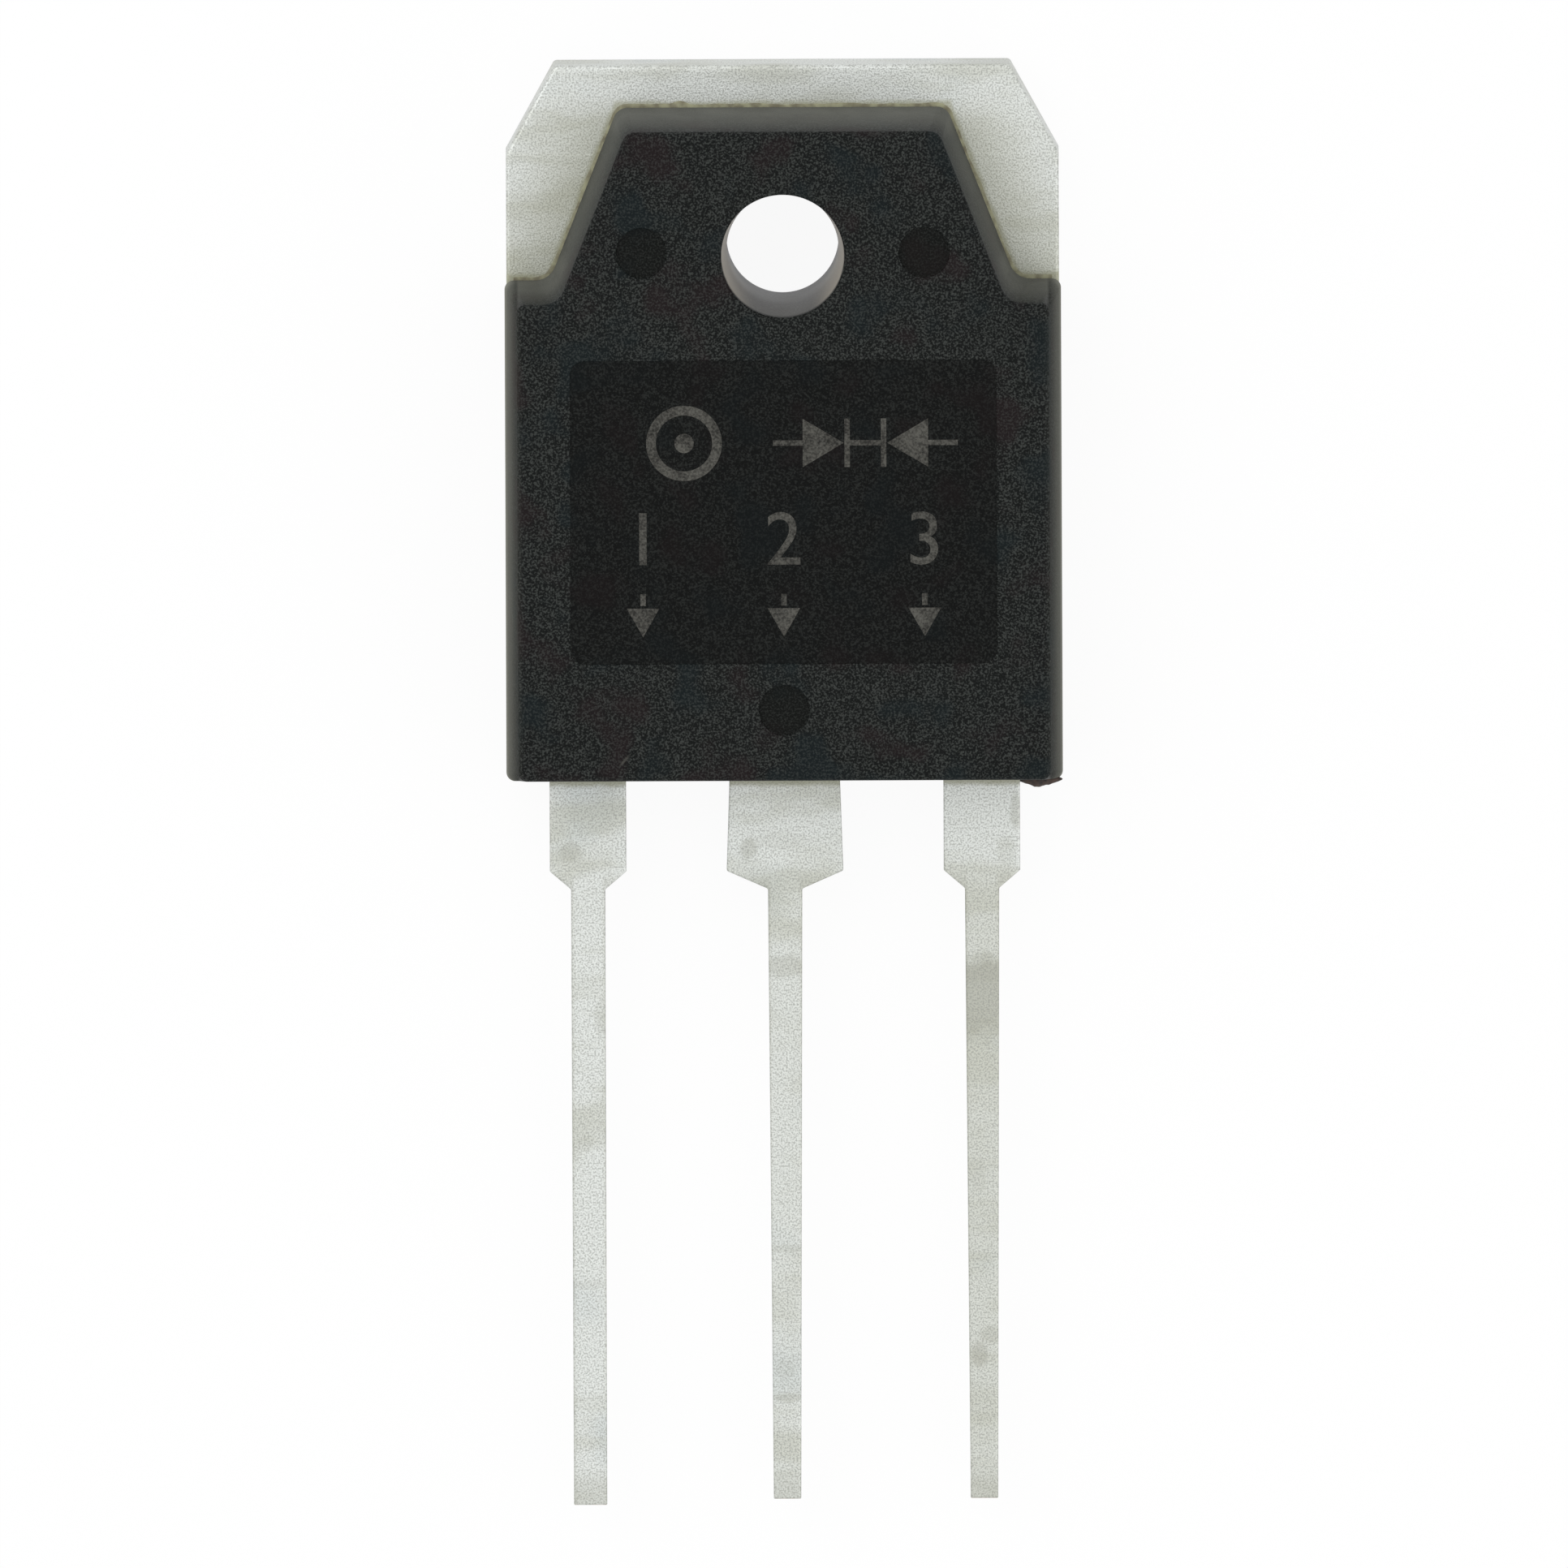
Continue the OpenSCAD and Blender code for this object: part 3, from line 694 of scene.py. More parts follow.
# Smudges on the metal: x, y, half width, half height in millimetres, and strength
SMUDGES = (
    (-5.94, -16.89, 0.34, 0.28, 0.26),
    (-5.60, -25.05, 0.30, 0.22, 0.15),
    (-5.10, -21.50, 0.22, 0.60, 0.16),
    (-5.45, -28.96, 0.60, 0.16, 0.12),
    (-1.02, -16.82, 0.30, 0.28, 0.34),
    (-0.10, -16.59, 0.90, 0.26, 0.12),
    (0.05, -20.10, 0.80, 0.34, 0.28),
    (0.10, -27.97, 0.80, 0.12, 0.20),
    (0.00, -32.13, 0.44, 0.14, 0.32),
    (-0.05, -31.30, 0.30, 0.30, 0.12),
    (5.45, -20.95, 1.10, 1.20, 0.52),
    (5.30, -26.00, 0.30, 0.50, 0.14),
    (5.66, -30.40, 0.40, 0.26, 0.26),
    (6.42, -15.80, 0.20, 0.50, 0.30),
    (6.10, -16.90, 0.30, 0.40, 0.16),
)

# Brownish stains on the right lead: x, y, half width, half height and strength
STAINS = (
    (5.34, -30.92, 0.24, 0.40, 0.22),
    (5.45, -20.30, 1.00, 0.30, 0.10),
)


# Patterns in the tin: size of its grains, its clouds, its bands and the smudges' ragged edges
TIN_GRAIN, TIN_CLOUD, TIN_BAND, RAGGED = 0.05 * MM, 3.2 * MM, 1.3 * MM, 0.35 * MM
# The bands are drawn out along X, where their pattern runs at this share
BAND_STRETCH = (0.35, 1, 1)
# Borders of the tin's masks: where each one is nought, then where it is one
COOL_TIN, WARM_TIN, DARK_GRAIN = (0.46, 0.3), (0.44, 0.68), (0.60, 0.32)
SHADE_RIGHTWARD, BELOW_BODY = (-4 * MM, 6 * MM), (-17 * MM, -19 * MM)
OVAL_EDGE, COPPER_PATCH = (1.2, 0.6), (0.3, 0.6)
TIP_FADE, RIM_FADE = (1.0 * MM, 0.3 * MM), (0.34 * MM, 0.47 * MM)
TAILS = (-17.4 * MM, -17.8 * MM)
CUT_FACING, CUT_PLACE = (-0.8, -0.95), (-34.7 * MM, -34.8 * MM)
PLATE_FRONT, PLATE_PART = (1.40 * MM, 1.46 * MM), (-2 * MM, -1.5 * MM)
FOOT_SHADE_EDGE, FOOT_SHADE_TOP = (2.5 * MM, 0.1 * MM), (4.3 * MM, 3.0 * MM)
BLEED_EDGE, LEAD_BLEED = (0.22 * MM, 0.06 * MM), (0.20 * MM, 0.02 * MM)
BODY_FOOT = (-14 * MM, -14.5 * MM)
# Strength of the tin's tints, the painted shades among them, and the most that smudges reach
# together
COOL_TINT, WARM_TINT, RIGHT_SHADE, GRAIN_TINT = 0.4, 0.45, 0.36, 0.62
TIP_TINT, RIM_TINT, FOOT_SHADE_TINT, BLEED_TINT, MOST_SMUDGE = 0.26, 0.22, 0.36, 0.6, 0.85


def smudge_mask(finish, table, ragged):
    """Sum of ovals with ragged edges, each one as strong as its row says."""
    dull = 0.0
    for x, y, width, height, strength in table:
        away = finish.oval(x * MM, y * MM, width * MM, height * MM)
        dull = (away + ragged).step(*OVAL_EDGE) * strength + dull
    return dull.least(MOST_SMUDGE)


def tint_ends(finish, metal, looks):
    """Duller tips, rims and cut ends of the leads; bare copper shows on the cut faces."""
    tips = finish.y.step(*[HEADER_LOW.y + above for above in TIP_FADE])
    finish.tint(tips * TIP_TINT, looks.smudge)
    across = abs(finish.x).least(abs(abs(finish.x) - metal.pitch))
    rims = across.step(*RIM_FADE) * finish.y.step(*TAILS)
    finish.tint(rims * RIM_TINT, looks.smudge)
    normal = finish.node("ShaderNodeNewGeometry", {}, {}, "Normal")
    cut = finish.parts(normal)[1].step(*CUT_FACING) * finish.y.step(*CUT_PLACE)
    finish.tint(cut * finish.noise(0.2 * MM).step(*COPPER_PATCH), looks.copper)


def tint_foot_shade_and_resin(finish, sizes, looks):
    """Painted shade on the plate beside the moulding's foot, bled resin there, and the mask of
    the bled resin.

    Both fall with the distance from the moulding's outline, whose edge a wave blurs.
    """
    wave = (finish.noise(0.6 * MM, 3.0) - HALF) * 0.2 * MM
    away = finish.outside(sizes) + wave
    on_plate = finish.z.step(*PLATE_FRONT) * finish.y.step(*PLATE_PART)
    # Painted shade on the plate beside the nose and along the shoulders
    painted_foot_shade = away.step(*FOOT_SHADE_EDGE) * on_plate * finish.y.step(*FOOT_SHADE_TOP)
    finish.tint(painted_foot_shade * FOOT_SHADE_TINT, looks.resin)
    below = (-sizes.block_bottom - finish.y + wave).step(*LEAD_BLEED)
    bleed = (away.step(*BLEED_EDGE) * on_plate).most(below * finish.y.step(*BODY_FOOT))
    finish.tint(bleed * BLEED_TINT, looks.resin)
    return bleed


def tin_finish(scene):
    """Matte tin plate: grains, clouds and bands, smudges, dull ends and bled resin, with painted
    shade towards the right and beside the moulding.
    """
    looks, metal = scene.package_finishes, scene.package_metal
    finish = Finish("matte_tin")
    grain = finish.noise(TIN_GRAIN, 1.0, 0.6)
    clouds = finish.noise(TIN_CLOUD, 2.0)
    bands = finish.noise(TIN_BAND, 3.0, 0.55, BAND_STRETCH)
    finish.start(clouds.step(*COOL_TIN) * COOL_TINT, looks.tin, looks.tin_cool)
    finish.tint(bands.step(*WARM_TIN) * WARM_TINT, looks.tin_warm)
    # Painted shade: the leads darken towards the right, below the body
    painted_shade_rightward = finish.x.step(*SHADE_RIGHTWARD) * finish.y.step(*BELOW_BODY)
    finish.tint(painted_shade_rightward * RIGHT_SHADE, looks.tin_warm)
    ragged = (finish.noise(RAGGED, 3.0) - HALF) * 0.9
    front = finish.z.step(metal.lead_rise, HEADER_HIGH.z - metal.lead_edge)
    for table, shade in ((SMUDGES, looks.smudge), (STAINS, looks.resin_dark)):
        finish.tint(smudge_mask(finish, table, ragged) * front, shade)
    finish.tint(grain.step(*DARK_GRAIN) * GRAIN_TINT, looks.tin_grain)
    tint_ends(finish, metal, looks)
    bleed = tint_foot_shade_and_resin(finish, scene.package_moulding, looks)

    rough = looks.tin_roughness + (grain - HALF) * 0.12 + bleed * 0.1
    finish.dress(Base_Color=finish.base, Roughness=rough, Metallic=0.72 - bleed * 0.6)
    finish.bump(grain + clouds * 0.6, 0.01 * MM, 0.7)
    return finish.material


def plain_finish(name, first, second, size, metallic, roughness, depth):
    """Finish of the smaller pieces: two mottled shades, and a fine bump with them.

    The mottling's size and the bump's depth are in millimetres.
    """
    finish = Finish(name)
    mottle = finish.noise(size * MM, 3.0)
    finish.start(mottle.step(0.3, 0.7), first, second)
    finish.dress(Base_Color=finish.base, Metallic=metallic,
                 Roughness=roughness + (mottle - HALF) * 0.2)
    finish.bump(mottle, depth * MM, 0.5)
    return finish.material


def body_corners(sizes):
    """Outline of the moulding at its parting line: block, shoulders and nose."""
    half = BODY_HIGH.x
    bottom = -sizes.block_bottom
    shoulder = bottom + sizes.block_height
    return both_halves([
        (half, bottom, sizes.corner),
        (half, shoulder, sizes.corner),
        (sizes.nose_base / 2, shoulder, sizes.shoulder),
        (sizes.nose_top / 2, sizes.nose_rise, sizes.nose_corner),
    ])


def wall_profile(sizes):
    """Side wall from the back to the marked face, as offset and height.

    It leans out to the parting line, stands out there as a fine fin, leans in above it,
    and turns into the face on an arc that is tangent to both.
    """
    slope = math.tan(sizes.draft)
    top = BODY_HIGH.z
    fin = sizes.parting_fin
    back = -(sizes.parting - sizes.edge) * slope
    rim_height = top - sizes.rim + sizes.rim * math.sin(sizes.draft)
    rim_offset = -fin - (rim_height - sizes.parting) * slope
    rim_centre = rim_offset - sizes.rim * math.cos(sizes.draft)
    draft = math.degrees(sizes.draft)
    return np.concatenate([
        arc(back - sizes.edge, sizes.edge, sizes.edge, -90, 0, 4),
        [(-fin, sizes.parting - 2 * fin), (0, sizes.parting), (-fin, sizes.parting + 2 * fin)],
        arc(rim_centre, top - sizes.rim, sizes.rim, draft, 90, 9),
    ])


def recess_profile(top, depth, edge):
    """Wall down into a recess: a rounded edge, a straight wall and a rounded foot."""
    return np.concatenate([
        arc(edge, top - edge, edge, 90, 180, 4),
        arc(-edge, top - depth + edge, edge, 0, -90, 4),
    ])


def hole_profile(sizes):
    """Wall of the mounting hole, from its rounded mouth down to the back."""
    straight, mouth = sizes.hole / 2, sizes.mouth / 2
    top, edge = BODY_HIGH.z, 2 * sizes.edge
    return np.concatenate([
        arc(mouth + edge, top - edge, edge, 90, 180, 6),
        [(straight, top - sizes.mouth_depth)],
        arc(straight + sizes.edge, sizes.edge, sizes.edge, 180, 270, 4),
    ])


def plate_corners(sizes, slug, reach=0.0):
    """Outline of the heat-sink plate; reach carries its ears and tab further out."""
    top = HEADER_HIGH.y + reach
    ear = HEADER_HIGH.x + reach
    return both_halves([
        (slug / 2, -sizes.slug_bottom, sizes.stamped_corner),
        (slug / 2, -sizes.ear_bottom, sizes.burr_side),
        (ear, -sizes.ear_bottom, sizes.burr_side),
        (ear, HEADER_HIGH.y - sizes.chamfer_height, sizes.stamped_corner),
        (ear - sizes.chamfer_width, top, sizes.stamped_corner),
    ])


def moulding(scene):
    """Moulded body: drafted wall, face with its recesses, hole, and room for the plate.

    Each wall is a profile carried round its outline, and the flat faces span between the
    outlines. The room is the plate's own outline carried up to the plate's thickness, with
    the hole's lining left standing in it.
    """
    sizes, metal = scene.package_moulding, scene.package_metal
    top, edge = BODY_HIGH.z, sizes.edge
    shell = Shell()
    wall = shell.sweep(*rounded_path(body_corners(sizes), 10), wall_profile(sizes))
    hole = shell.sweep(*circle_path(0, 0, 0, 128), hole_profile(sizes))
    rings = [wall[:, -1], hole[:, 0]]
    for x, y in mark_places(sizes):
        recess = shell.sweep(*circle_path(x, y, sizes.mark / 2, 64),
                             recess_profile(top, sizes.mark_depth, edge))
        shell.cap([recess[:, -1]], top - sizes.mark_depth)
        rings.append(recess[:, 0])
    half, low = sizes.panel_width / 2, -sizes.panel_drop - sizes.panel_height
    panel = both_halves([(half, low, sizes.panel_corner),
                         (half, -sizes.panel_drop, sizes.panel_corner)])
    recess = shell.sweep(*rounded_path(panel, 8),
                         recess_profile(top, sizes.panel_depth, sizes.panel_depth / 2))
    shell.cap([recess[:, -1]], top - sizes.panel_depth)
    rings.append(recess[:, 0])
    shell.cap(rings, top)
    shell.cap([wall[:, 0], hole[:, -1]], 0.0, up=False)
    body = shell.piece("body_shell")

    room = Shell()
    path, mitres = rounded_path(plate_corners(metal, metal.slug_width, PAST), 4)
    ring, spokes = circle_path(0, 0, sizes.hole / 2 + metal.lining, 128)
    room.sweep(path, mitres, [(0, -PAST), (0, metal.plate)])
    room.sweep(ring, spokes, [(0, metal.plate), (0, -PAST)])
    room.cap([path, ring], metal.plate)
    room.cap([path, ring], -PAST, up=False)
    return joined(body, room.piece("plate_room"), "DIFFERENCE")


def stamped_profile(low, high, front, back):
    """Edge of a stamped sheet: a small radius at the back and the roll-over in front."""
    return np.concatenate([
        arc(-back, low + back, back, -90, 0, 3),
        arc(-front, high - front, front, 0, 90, 6),
    ])


def stamping(name, corners, low, high, front, back):
    """Sheet of metal stamped to an outline, with its front edges rolled over."""
    shell = Shell()
    rings = shell.sweep(*rounded_path(corners, 6), stamped_profile(low, high, front, back))
    shell.cap([rings[:, -1]], high)
    shell.cap([rings[:, 0]], low, up=False)
    return shell.piece(name)


# Radius of the corners where a lead goes into the body
ROOT_CORNER = 0.01 * MM
# How far below the slug the middle strip bends, and how far its blade goes into the body
BEND_DROP, BLADE_INSET = 0.1 * MM, 0.2 * MM


def blade_corners(sizes, shoulder, flare, tip, tip_y, root_y):
    """Outline of a lead outside the body, about its centre line."""
    bottom = -bpy.context.scene.package_moulding.block_bottom
    shoulder_y = bottom - sizes.shoulder_length
    corner = sizes.lead_corner
    return both_halves([
        (tip / 2, tip_y, corner / 2),
        (sizes.tail / 2, shoulder_y - sizes.taper, corner),
        ((shoulder + flare) / 2, shoulder_y, corner),
        (shoulder / 2, root_y, ROOT_CORNER),
    ])


def shifted(corners, side, x):
    """Outline mirrored if side is negative, kept anticlockwise, and moved along X."""
    moved = [(side * cx + x, cy, radius) for cx, cy, radius in corners]
    return moved if side > 0 else moved[::-1]


def outer_lead(name, side, sizes, low, tip):
    """Outer lead with its wire post: one stamped outline, from the tip up round the post.

    The post lies inwards of the lead's centre line by the post's shift.
    """
    bottom = -bpy.context.scene.package_moulding.block_bottom
    post_low = bottom + sizes.post_inset
    post_high = post_low + sizes.post_height
    half, corner = sizes.shoulder_width / 2, sizes.lead_corner
    inner = sizes.post_width / 2 + sizes.post_shift
    outer = sizes.post_width / 2 - sizes.post_shift
    blade = blade_corners(sizes, sizes.shoulder_width, 0, tip, low.y, post_low)
    post = [(outer, post_low, corner), (outer, post_high, corner),
            (-inner, post_high, corner), (-inner, post_low, corner)]
    corners = blade[:3] + [(half, post_low, corner)] + post
    corners += [(-half, post_low, corner)] + blade[5:]
    return stamping(name, shifted(corners, side, side * sizes.pitch), sizes.lead_rise,
                    HEADER_HIGH.z, sizes.lead_edge, sizes.burr_side)


def joggle(sizes, root_y):
    """Strip that climbs from the plate to the middle lead, as a side view carried along X.

    It leaves the plate, rises at 45 degrees and runs on at the lead's height. On the
    inside of each bend the corner moves by the thickness times the tangent of 22.5
    degrees, so that the strip keeps its thickness.
    """
    thick = HEADER_HIGH.z - sizes.lead_rise
    lift = HEADER_HIGH.z - sizes.plate
    start = -sizes.slug_bottom + thick
    first = -sizes.slug_bottom - BEND_DROP
    fold = thick * math.tan(math.radians(22.5))
    end = root_y - 2 * OVERLAP
    side_view = [
        (start, sizes.plate - thick), (first - fold, sizes.plate - thick),
        (first - fold - lift, sizes.lead_rise), (end, sizes.lead_rise),
        (end, HEADER_HIGH.z), (first - lift, HEADER_HIGH.z),
        (first, sizes.plate - OVERLAP), (start, sizes.plate - OVERLAP),
    ]
    half = sizes.middle_width / 2 - OVERLAP
    outline = np.array(side_view)
    count = len(outline)
    left, right = [np.column_stack([np.full(count, x), outline]) for x in (-half, half)]
    step = np.arange(count)
    nxt = (step + 1) % count
    strip = Shell()
    strip.add(np.concatenate([left, right]),
              np.stack([step, nxt, nxt + count, step + count], 1))
    ring = tessellate_polygon([[(y, z, 0.0) for y, z in side_view]])
    strip.add(left, [face[::-1] for face in ring])
    strip.add(right, ring)
    return facing_out(strip.piece("joggle"))


def heat_sink_header(sizes):
    """Heat-sink plate and middle lead: stamped plate, coined steps, joggle and blade.

    The plate is its edge's profile carried round its outline. Two pairs of blocks are cut
    from it, under its side keys and over the steps beside the middle strip.
    """
    moulding_sizes = bpy.context.scene.package_moulding
    shell = Shell()
    path, mitres = rounded_path(plate_corners(sizes, sizes.slug_width + 2 * sizes.key), 6)
    rings = shell.sweep(path, mitres, stamped_profile(0, sizes.plate, sizes.roll_over,
                                                      sizes.burr_side))
    ring, spokes = circle_path(0, 0, moulding_sizes.hole / 2 + sizes.lining, 96)
    shell.sweep(ring, spokes, [(0, sizes.plate), (0, 0)])
    shell.cap([rings[:, -1], ring], sizes.plate)
    shell.cap([rings[:, 0], ring], 0.0, up=False)
    plate = shell.piece("heat_sink_header")

    cuts = Shell()
    key, strip = sizes.slug_width / 2, sizes.middle_width / 2
    low = -sizes.slug_bottom - PAST
    blocks = ((key, -sizes.ear_bottom, -PAST, sizes.key_rise),
              (strip, -sizes.step_top, sizes.step, sizes.plate + PAST))
    for side in (-1, 1):
        for inner, upper, bottom, top in blocks:
            outline = [(inner, low, 0), (key + PAST, low, 0), (key + PAST, upper, 0),
                       (inner, upper, 0)]
            cuts.prism(shifted(outline, side, 0), bottom, top)
    plate = joined(plate, cuts.piece("coined_steps"), "DIFFERENCE")

    root_y = -moulding_sizes.block_bottom + BLADE_INSET
    corners = blade_corners(sizes, sizes.middle_width, sizes.middle_flare, sizes.tip,
                            HEADER_LOW.y, root_y)
    blade = stamping("middle_blade", corners, sizes.lead_rise, HEADER_HIGH.z,
                     sizes.lead_edge, sizes.burr_side)
    plate = joined(plate, joggle(sizes, root_y), "UNION")
    return joined(plate, blade, "UNION")


# Proportions of the laser marks: a triangle's width to its height, the gap from its tip to
# the bar, the bar's width, the ring's width and the dot's radius in half line widths, and
# the text size to a digit's height
TRIANGLE_WIDE, TIP_GAP, BAR_WIDE, RING_WIDE, TEXT_SIZE = 0.84, 2.3, 2, 3.6, 1.37
# Half width and height of the arrows
ARROW_HALF, ARROW_TALL = 0.45 * MM, 0.8 * MM


def digit_mesh(digit, sizes, place):
    """Mesh of one lead number, as extruded text with its middle at a place."""
    text = bpy.data.curves.new("digit", "FONT")
    text.body = digit
    text.align_x, text.align_y = "CENTER", "CENTER"
    text.size = sizes.digit * TEXT_SIZE
    text.extrude = 1.5 * sizes.height
    text.resolution_u = 6
    source = bpy.data.objects.new("digit", text)
    bpy.context.scene.collection.objects.link(source)
    graph = bpy.context.evaluated_depsgraph_get()
    mesh = bpy.data.meshes.new_from_object(source.evaluated_get(graph))
    bpy.data.objects.remove(source)
    work = bmesh.new()
    work.from_mesh(mesh)
    bmesh.ops.translate(work, vec=place, verts=work.verts)
    bmesh.ops.remove_doubles(work, verts=work.verts, dist=MERGE)
    work.to_mesh(mesh)
    work.free()
    return mesh


def laser_marks(scene):
    """Index ring, diode symbol, lead numbers and arrows, as thin closed slabs.

    The symbol and the arrows are bars and triangles about their middles, and the ring is
    the area between two circles.
    """
    sizes, moulding_sizes = scene.package_marks, scene.package_moulding
    floor = BODY_HIGH.z - moulding_sizes.panel_depth
    low, high = floor - 2 * sizes.height, floor + sizes.height
    shell = Shell()

    def slab(points):
        """Thin slab on an outline of points."""
        shell.prism([(x, y, 0.0) for x, y in points], low, high)

    def bar(x0, x1, y0, y1):
        """Thin slab on a rectangle."""
        left, right = min(x0, x1), max(x0, x1)
        slab([(left, y0), (right, y0), (right, y1), (left, y1)])

    middle, y = sizes.symbol_x, -sizes.symbol_y
    line, half, tall = sizes.line / 2, sizes.symbol_width / 2, sizes.diode / 2
    for side in (-1, 1):
        edge = middle + side * sizes.diode_gap
        bar(edge, edge + side * BAR_WIDE * line, y - tall, y + tall)
        tip = edge + side * TIP_GAP * line
        base = tip + side * sizes.diode * TRIANGLE_WIDE
        corners = [(tip, y), (base, y - tall), (base, y + tall)]
        slab(corners if side > 0 else corners[::-1])
        bar(base, middle + side * half, y - line, y + line)
    bar(middle - sizes.diode_gap, middle + sizes.diode_gap, y - line, y + line)

    outer, spokes = circle_path(-sizes.ring_x, y, sizes.ring / 2, 64)
    inner = outer - spokes * RING_WIDE * line
    shell.sweep(outer, spokes, [(0, low), (0, high)])
    shell.sweep(inner, spokes, [(0, high), (0, low)])
    shell.cap([outer, inner], high)
    shell.cap([outer, inner], low, up=False)
    shell.column(*circle_path(-sizes.ring_x, y, RING_WIDE * line, 32), low, high)

    foot, head = -sizes.arrow_y - ARROW_TALL / 2, -sizes.arrow_y + ARROW_TALL / 2
    for place in (-1, 0, 1):
        x = place * sizes.digit_pitch
        slab([(x, foot), (x + ARROW_HALF, head), (x - ARROW_HALF, head)])
        bar(x - line, x + line, head + line, -sizes.arrow_y + ARROW_TALL)
    marks = shell.piece("laser_marks")

    whole = bmesh.new()
    whole.from_mesh(marks.data)
    for place, digit in zip((-1, 0, 1), "123"):
        middle = Vector((place * sizes.digit_pitch, -sizes.digit_y, floor - sizes.height / 2))
        mesh = digit_mesh(digit, sizes, middle)
        whole.from_mesh(mesh)
        bpy.data.meshes.remove(mesh)
    whole.to_mesh(marks.data)
    whole.free()
    return marks


# Laser-foamed epoxy: size of its specks and patches, and the dark shade between them
SPECK, PATCH, BETWEEN = 0.06 * MM, 0.5 * MM, 0.12


def laser_finish(scene):
    """Laser-foamed epoxy: a mid grey that breaks up into fine specks."""
    looks = scene.package_finishes
    finish = Finish("laser_mark")
    speck = finish.noise(SPECK, 2.0).step(0.3, 0.7)
    patchy = finish.noise(PATCH, 2.0).step(0.3, 0.75)
    dark = tuple(BETWEEN * c for c in looks.laser)
    base = finish.blend(speck * 0.6 + patchy * 0.4, dark, tuple(looks.laser))
    finish.dress(Base_Color=base, Roughness=0.8 - speck * 0.1, Specular_IOR_Level=0.2)
    finish.bump(speck, 0.004 * MM, 0.5)
    return finish.material


# Film of flash, in millimetres: its mean reach and thickness, and how far it goes inwards
FLASH_REACH, FLASH_THICK, FLASH_INSIDE = 0.075, 0.02, 0.06
# Waves of its reach: height, turns in a millimetre as an angle, and start
FLASH_WAVES = ((0.014, 2.3, 0), (0.009, 5.1, 1), (0.005, 11.7, 2))
# Its wide lobe on the nose's upper edge: place, half width, more reach, more thickness
LOBE_X, LOBE_WIDE, LOBE_REACH, LOBE_THICK = -2.8, 0.22, 0.10, 0.03


def resin_flash(scene):
    """Film of flash round the nose's foot, on the plate.

    The middle line is the body's outline from one shoulder to the other, at even steps
    of its length. A wedge is carried along it: its reach is a mean plus a sum of sines of
    the length, with one wider lobe on the nose's upper edge left of the middle.
    """
    sizes, metal = scene.package_moulding, scene.package_metal
    steps = 10
    path, _ = rounded_path(body_corners(sizes), steps)
    path = path[2 * steps + 1:6 * (steps + 1) + 1]
    runs = np.concatenate([[0], np.cumsum(np.linalg.norm(np.diff(path, axis=0), axis=1))])
    along = np.linspace(0, runs[-1], 260)
    line = np.stack([np.interp(along, runs, path[:, k]) for k in (0, 1)], 1)
    ahead = np.gradient(line, axis=0)
    ahead /= np.linalg.norm(ahead, axis=1)[:, None]
    outward = np.stack([ahead[:, 1], -ahead[:, 0]], 1)
    reach = sum((high * np.sin(turns * along / MM + start)
                 for high, turns, start in FLASH_WAVES), FLASH_REACH)
    lobe = np.exp(-((line[:, 0] / MM - LOBE_X) / LOBE_WIDE) ** 2) * (line[:, 1] > 3 * MM)
    reach = (reach + LOBE_REACH * lobe) * MM
    thick = (FLASH_THICK + LOBE_THICK * lobe) * MM
    inside = np.full_like(reach, -FLASH_INSIDE * MM)
    under = np.full_like(reach, metal.plate - OVERLAP)
    wedge = [(inside, under), (reach, under), (reach, metal.plate + 0.15 * thick),
             (0.4 * reach, metal.plate + thick), (inside, metal.plate + 1.2 * thick)]
    points = np.stack([np.column_stack([line + outward * out[:, None], rise])
                       for out, rise in wedge], 1)
    shell = Shell()
    shell.tube(points)
    return shell.piece("resin_flash")


# Broken gate: its width and thickness, and the share of its width where it reaches furthest
GATE_WIDE, GATE_THICK, GATE_PEAK = 1.28 * MM, 0.5 * MM, 0.46
# Waves of its rough face: height, turns along it and round it as angles, and start
GATE_WAVES = ((0.2, 19, 2, 0), (0.15, 37, -3, 1), (0.1, 61, 5, 2))


def gate_break(scene):
    """Broken gate: a lump whose section is an oval that grows and shrinks along X.

    At share u of the width the oval reaches out by a lopsided triangle of u, and each
    point is moved by a sum of sines of u and of the angle round the oval.
    """
    sizes = scene.package_moulding
    reach = -BODY_LOW.y - sizes.block_bottom
    u = np.linspace(0, 1, 40)[:, None]
    v = np.linspace(0, math.tau, 24, endpoint=False)[None, :]
    bulk = np.minimum(u / GATE_PEAK, (1 - u) / (1 - GATE_PEAK)) ** 0.7
    rough = sum((high * np.sin(along * u + round_it * v + start)
                 for high, along, round_it, start in GATE_WAVES), 0.5)
    swell = 0.8 + 0.2 * rough
    out = bulk * swell * np.cos(v)
    side = np.sqrt(bulk) * swell * np.sin(v)
    x = np.broadcast_to(BODY_HIGH.x - GATE_WIDE + GATE_WIDE * u, out.shape)
    y = -sizes.block_bottom - reach * np.maximum(out, -0.6)
    z = sizes.parting + GATE_THICK / 2 * side
    shell = Shell()
    shell.tube(np.stack([x, y, z], 2))
    return shell.piece("gate_break")


class PACKAGE_OT_moulding(bpy.types.Operator):
    """Build the moulded body with its recesses and hole, its broken gate and its flash"""

    bl_idname = "package.moulding"
    bl_label = "Moulded body"

    def execute(self, context):
        material = epoxy_finish(context.scene)
        body = finished(moulding(context.scene), material)
        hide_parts("moulded_body")
        looks = context.scene.package_finishes
        broken = plain_finish("broken_epoxy", looks.gate, looks.epoxy, 0.2, 0.0, 0.7, 0.02)
        finished(gate_break(context.scene), broken, 60)
        film = plain_finish("bled_resin", looks.resin, looks.resin_dark, 0.3, 0.0, 0.5, 0.01)
        finished(resin_flash(context.scene), film, 60)
        return {"FINISHED"}


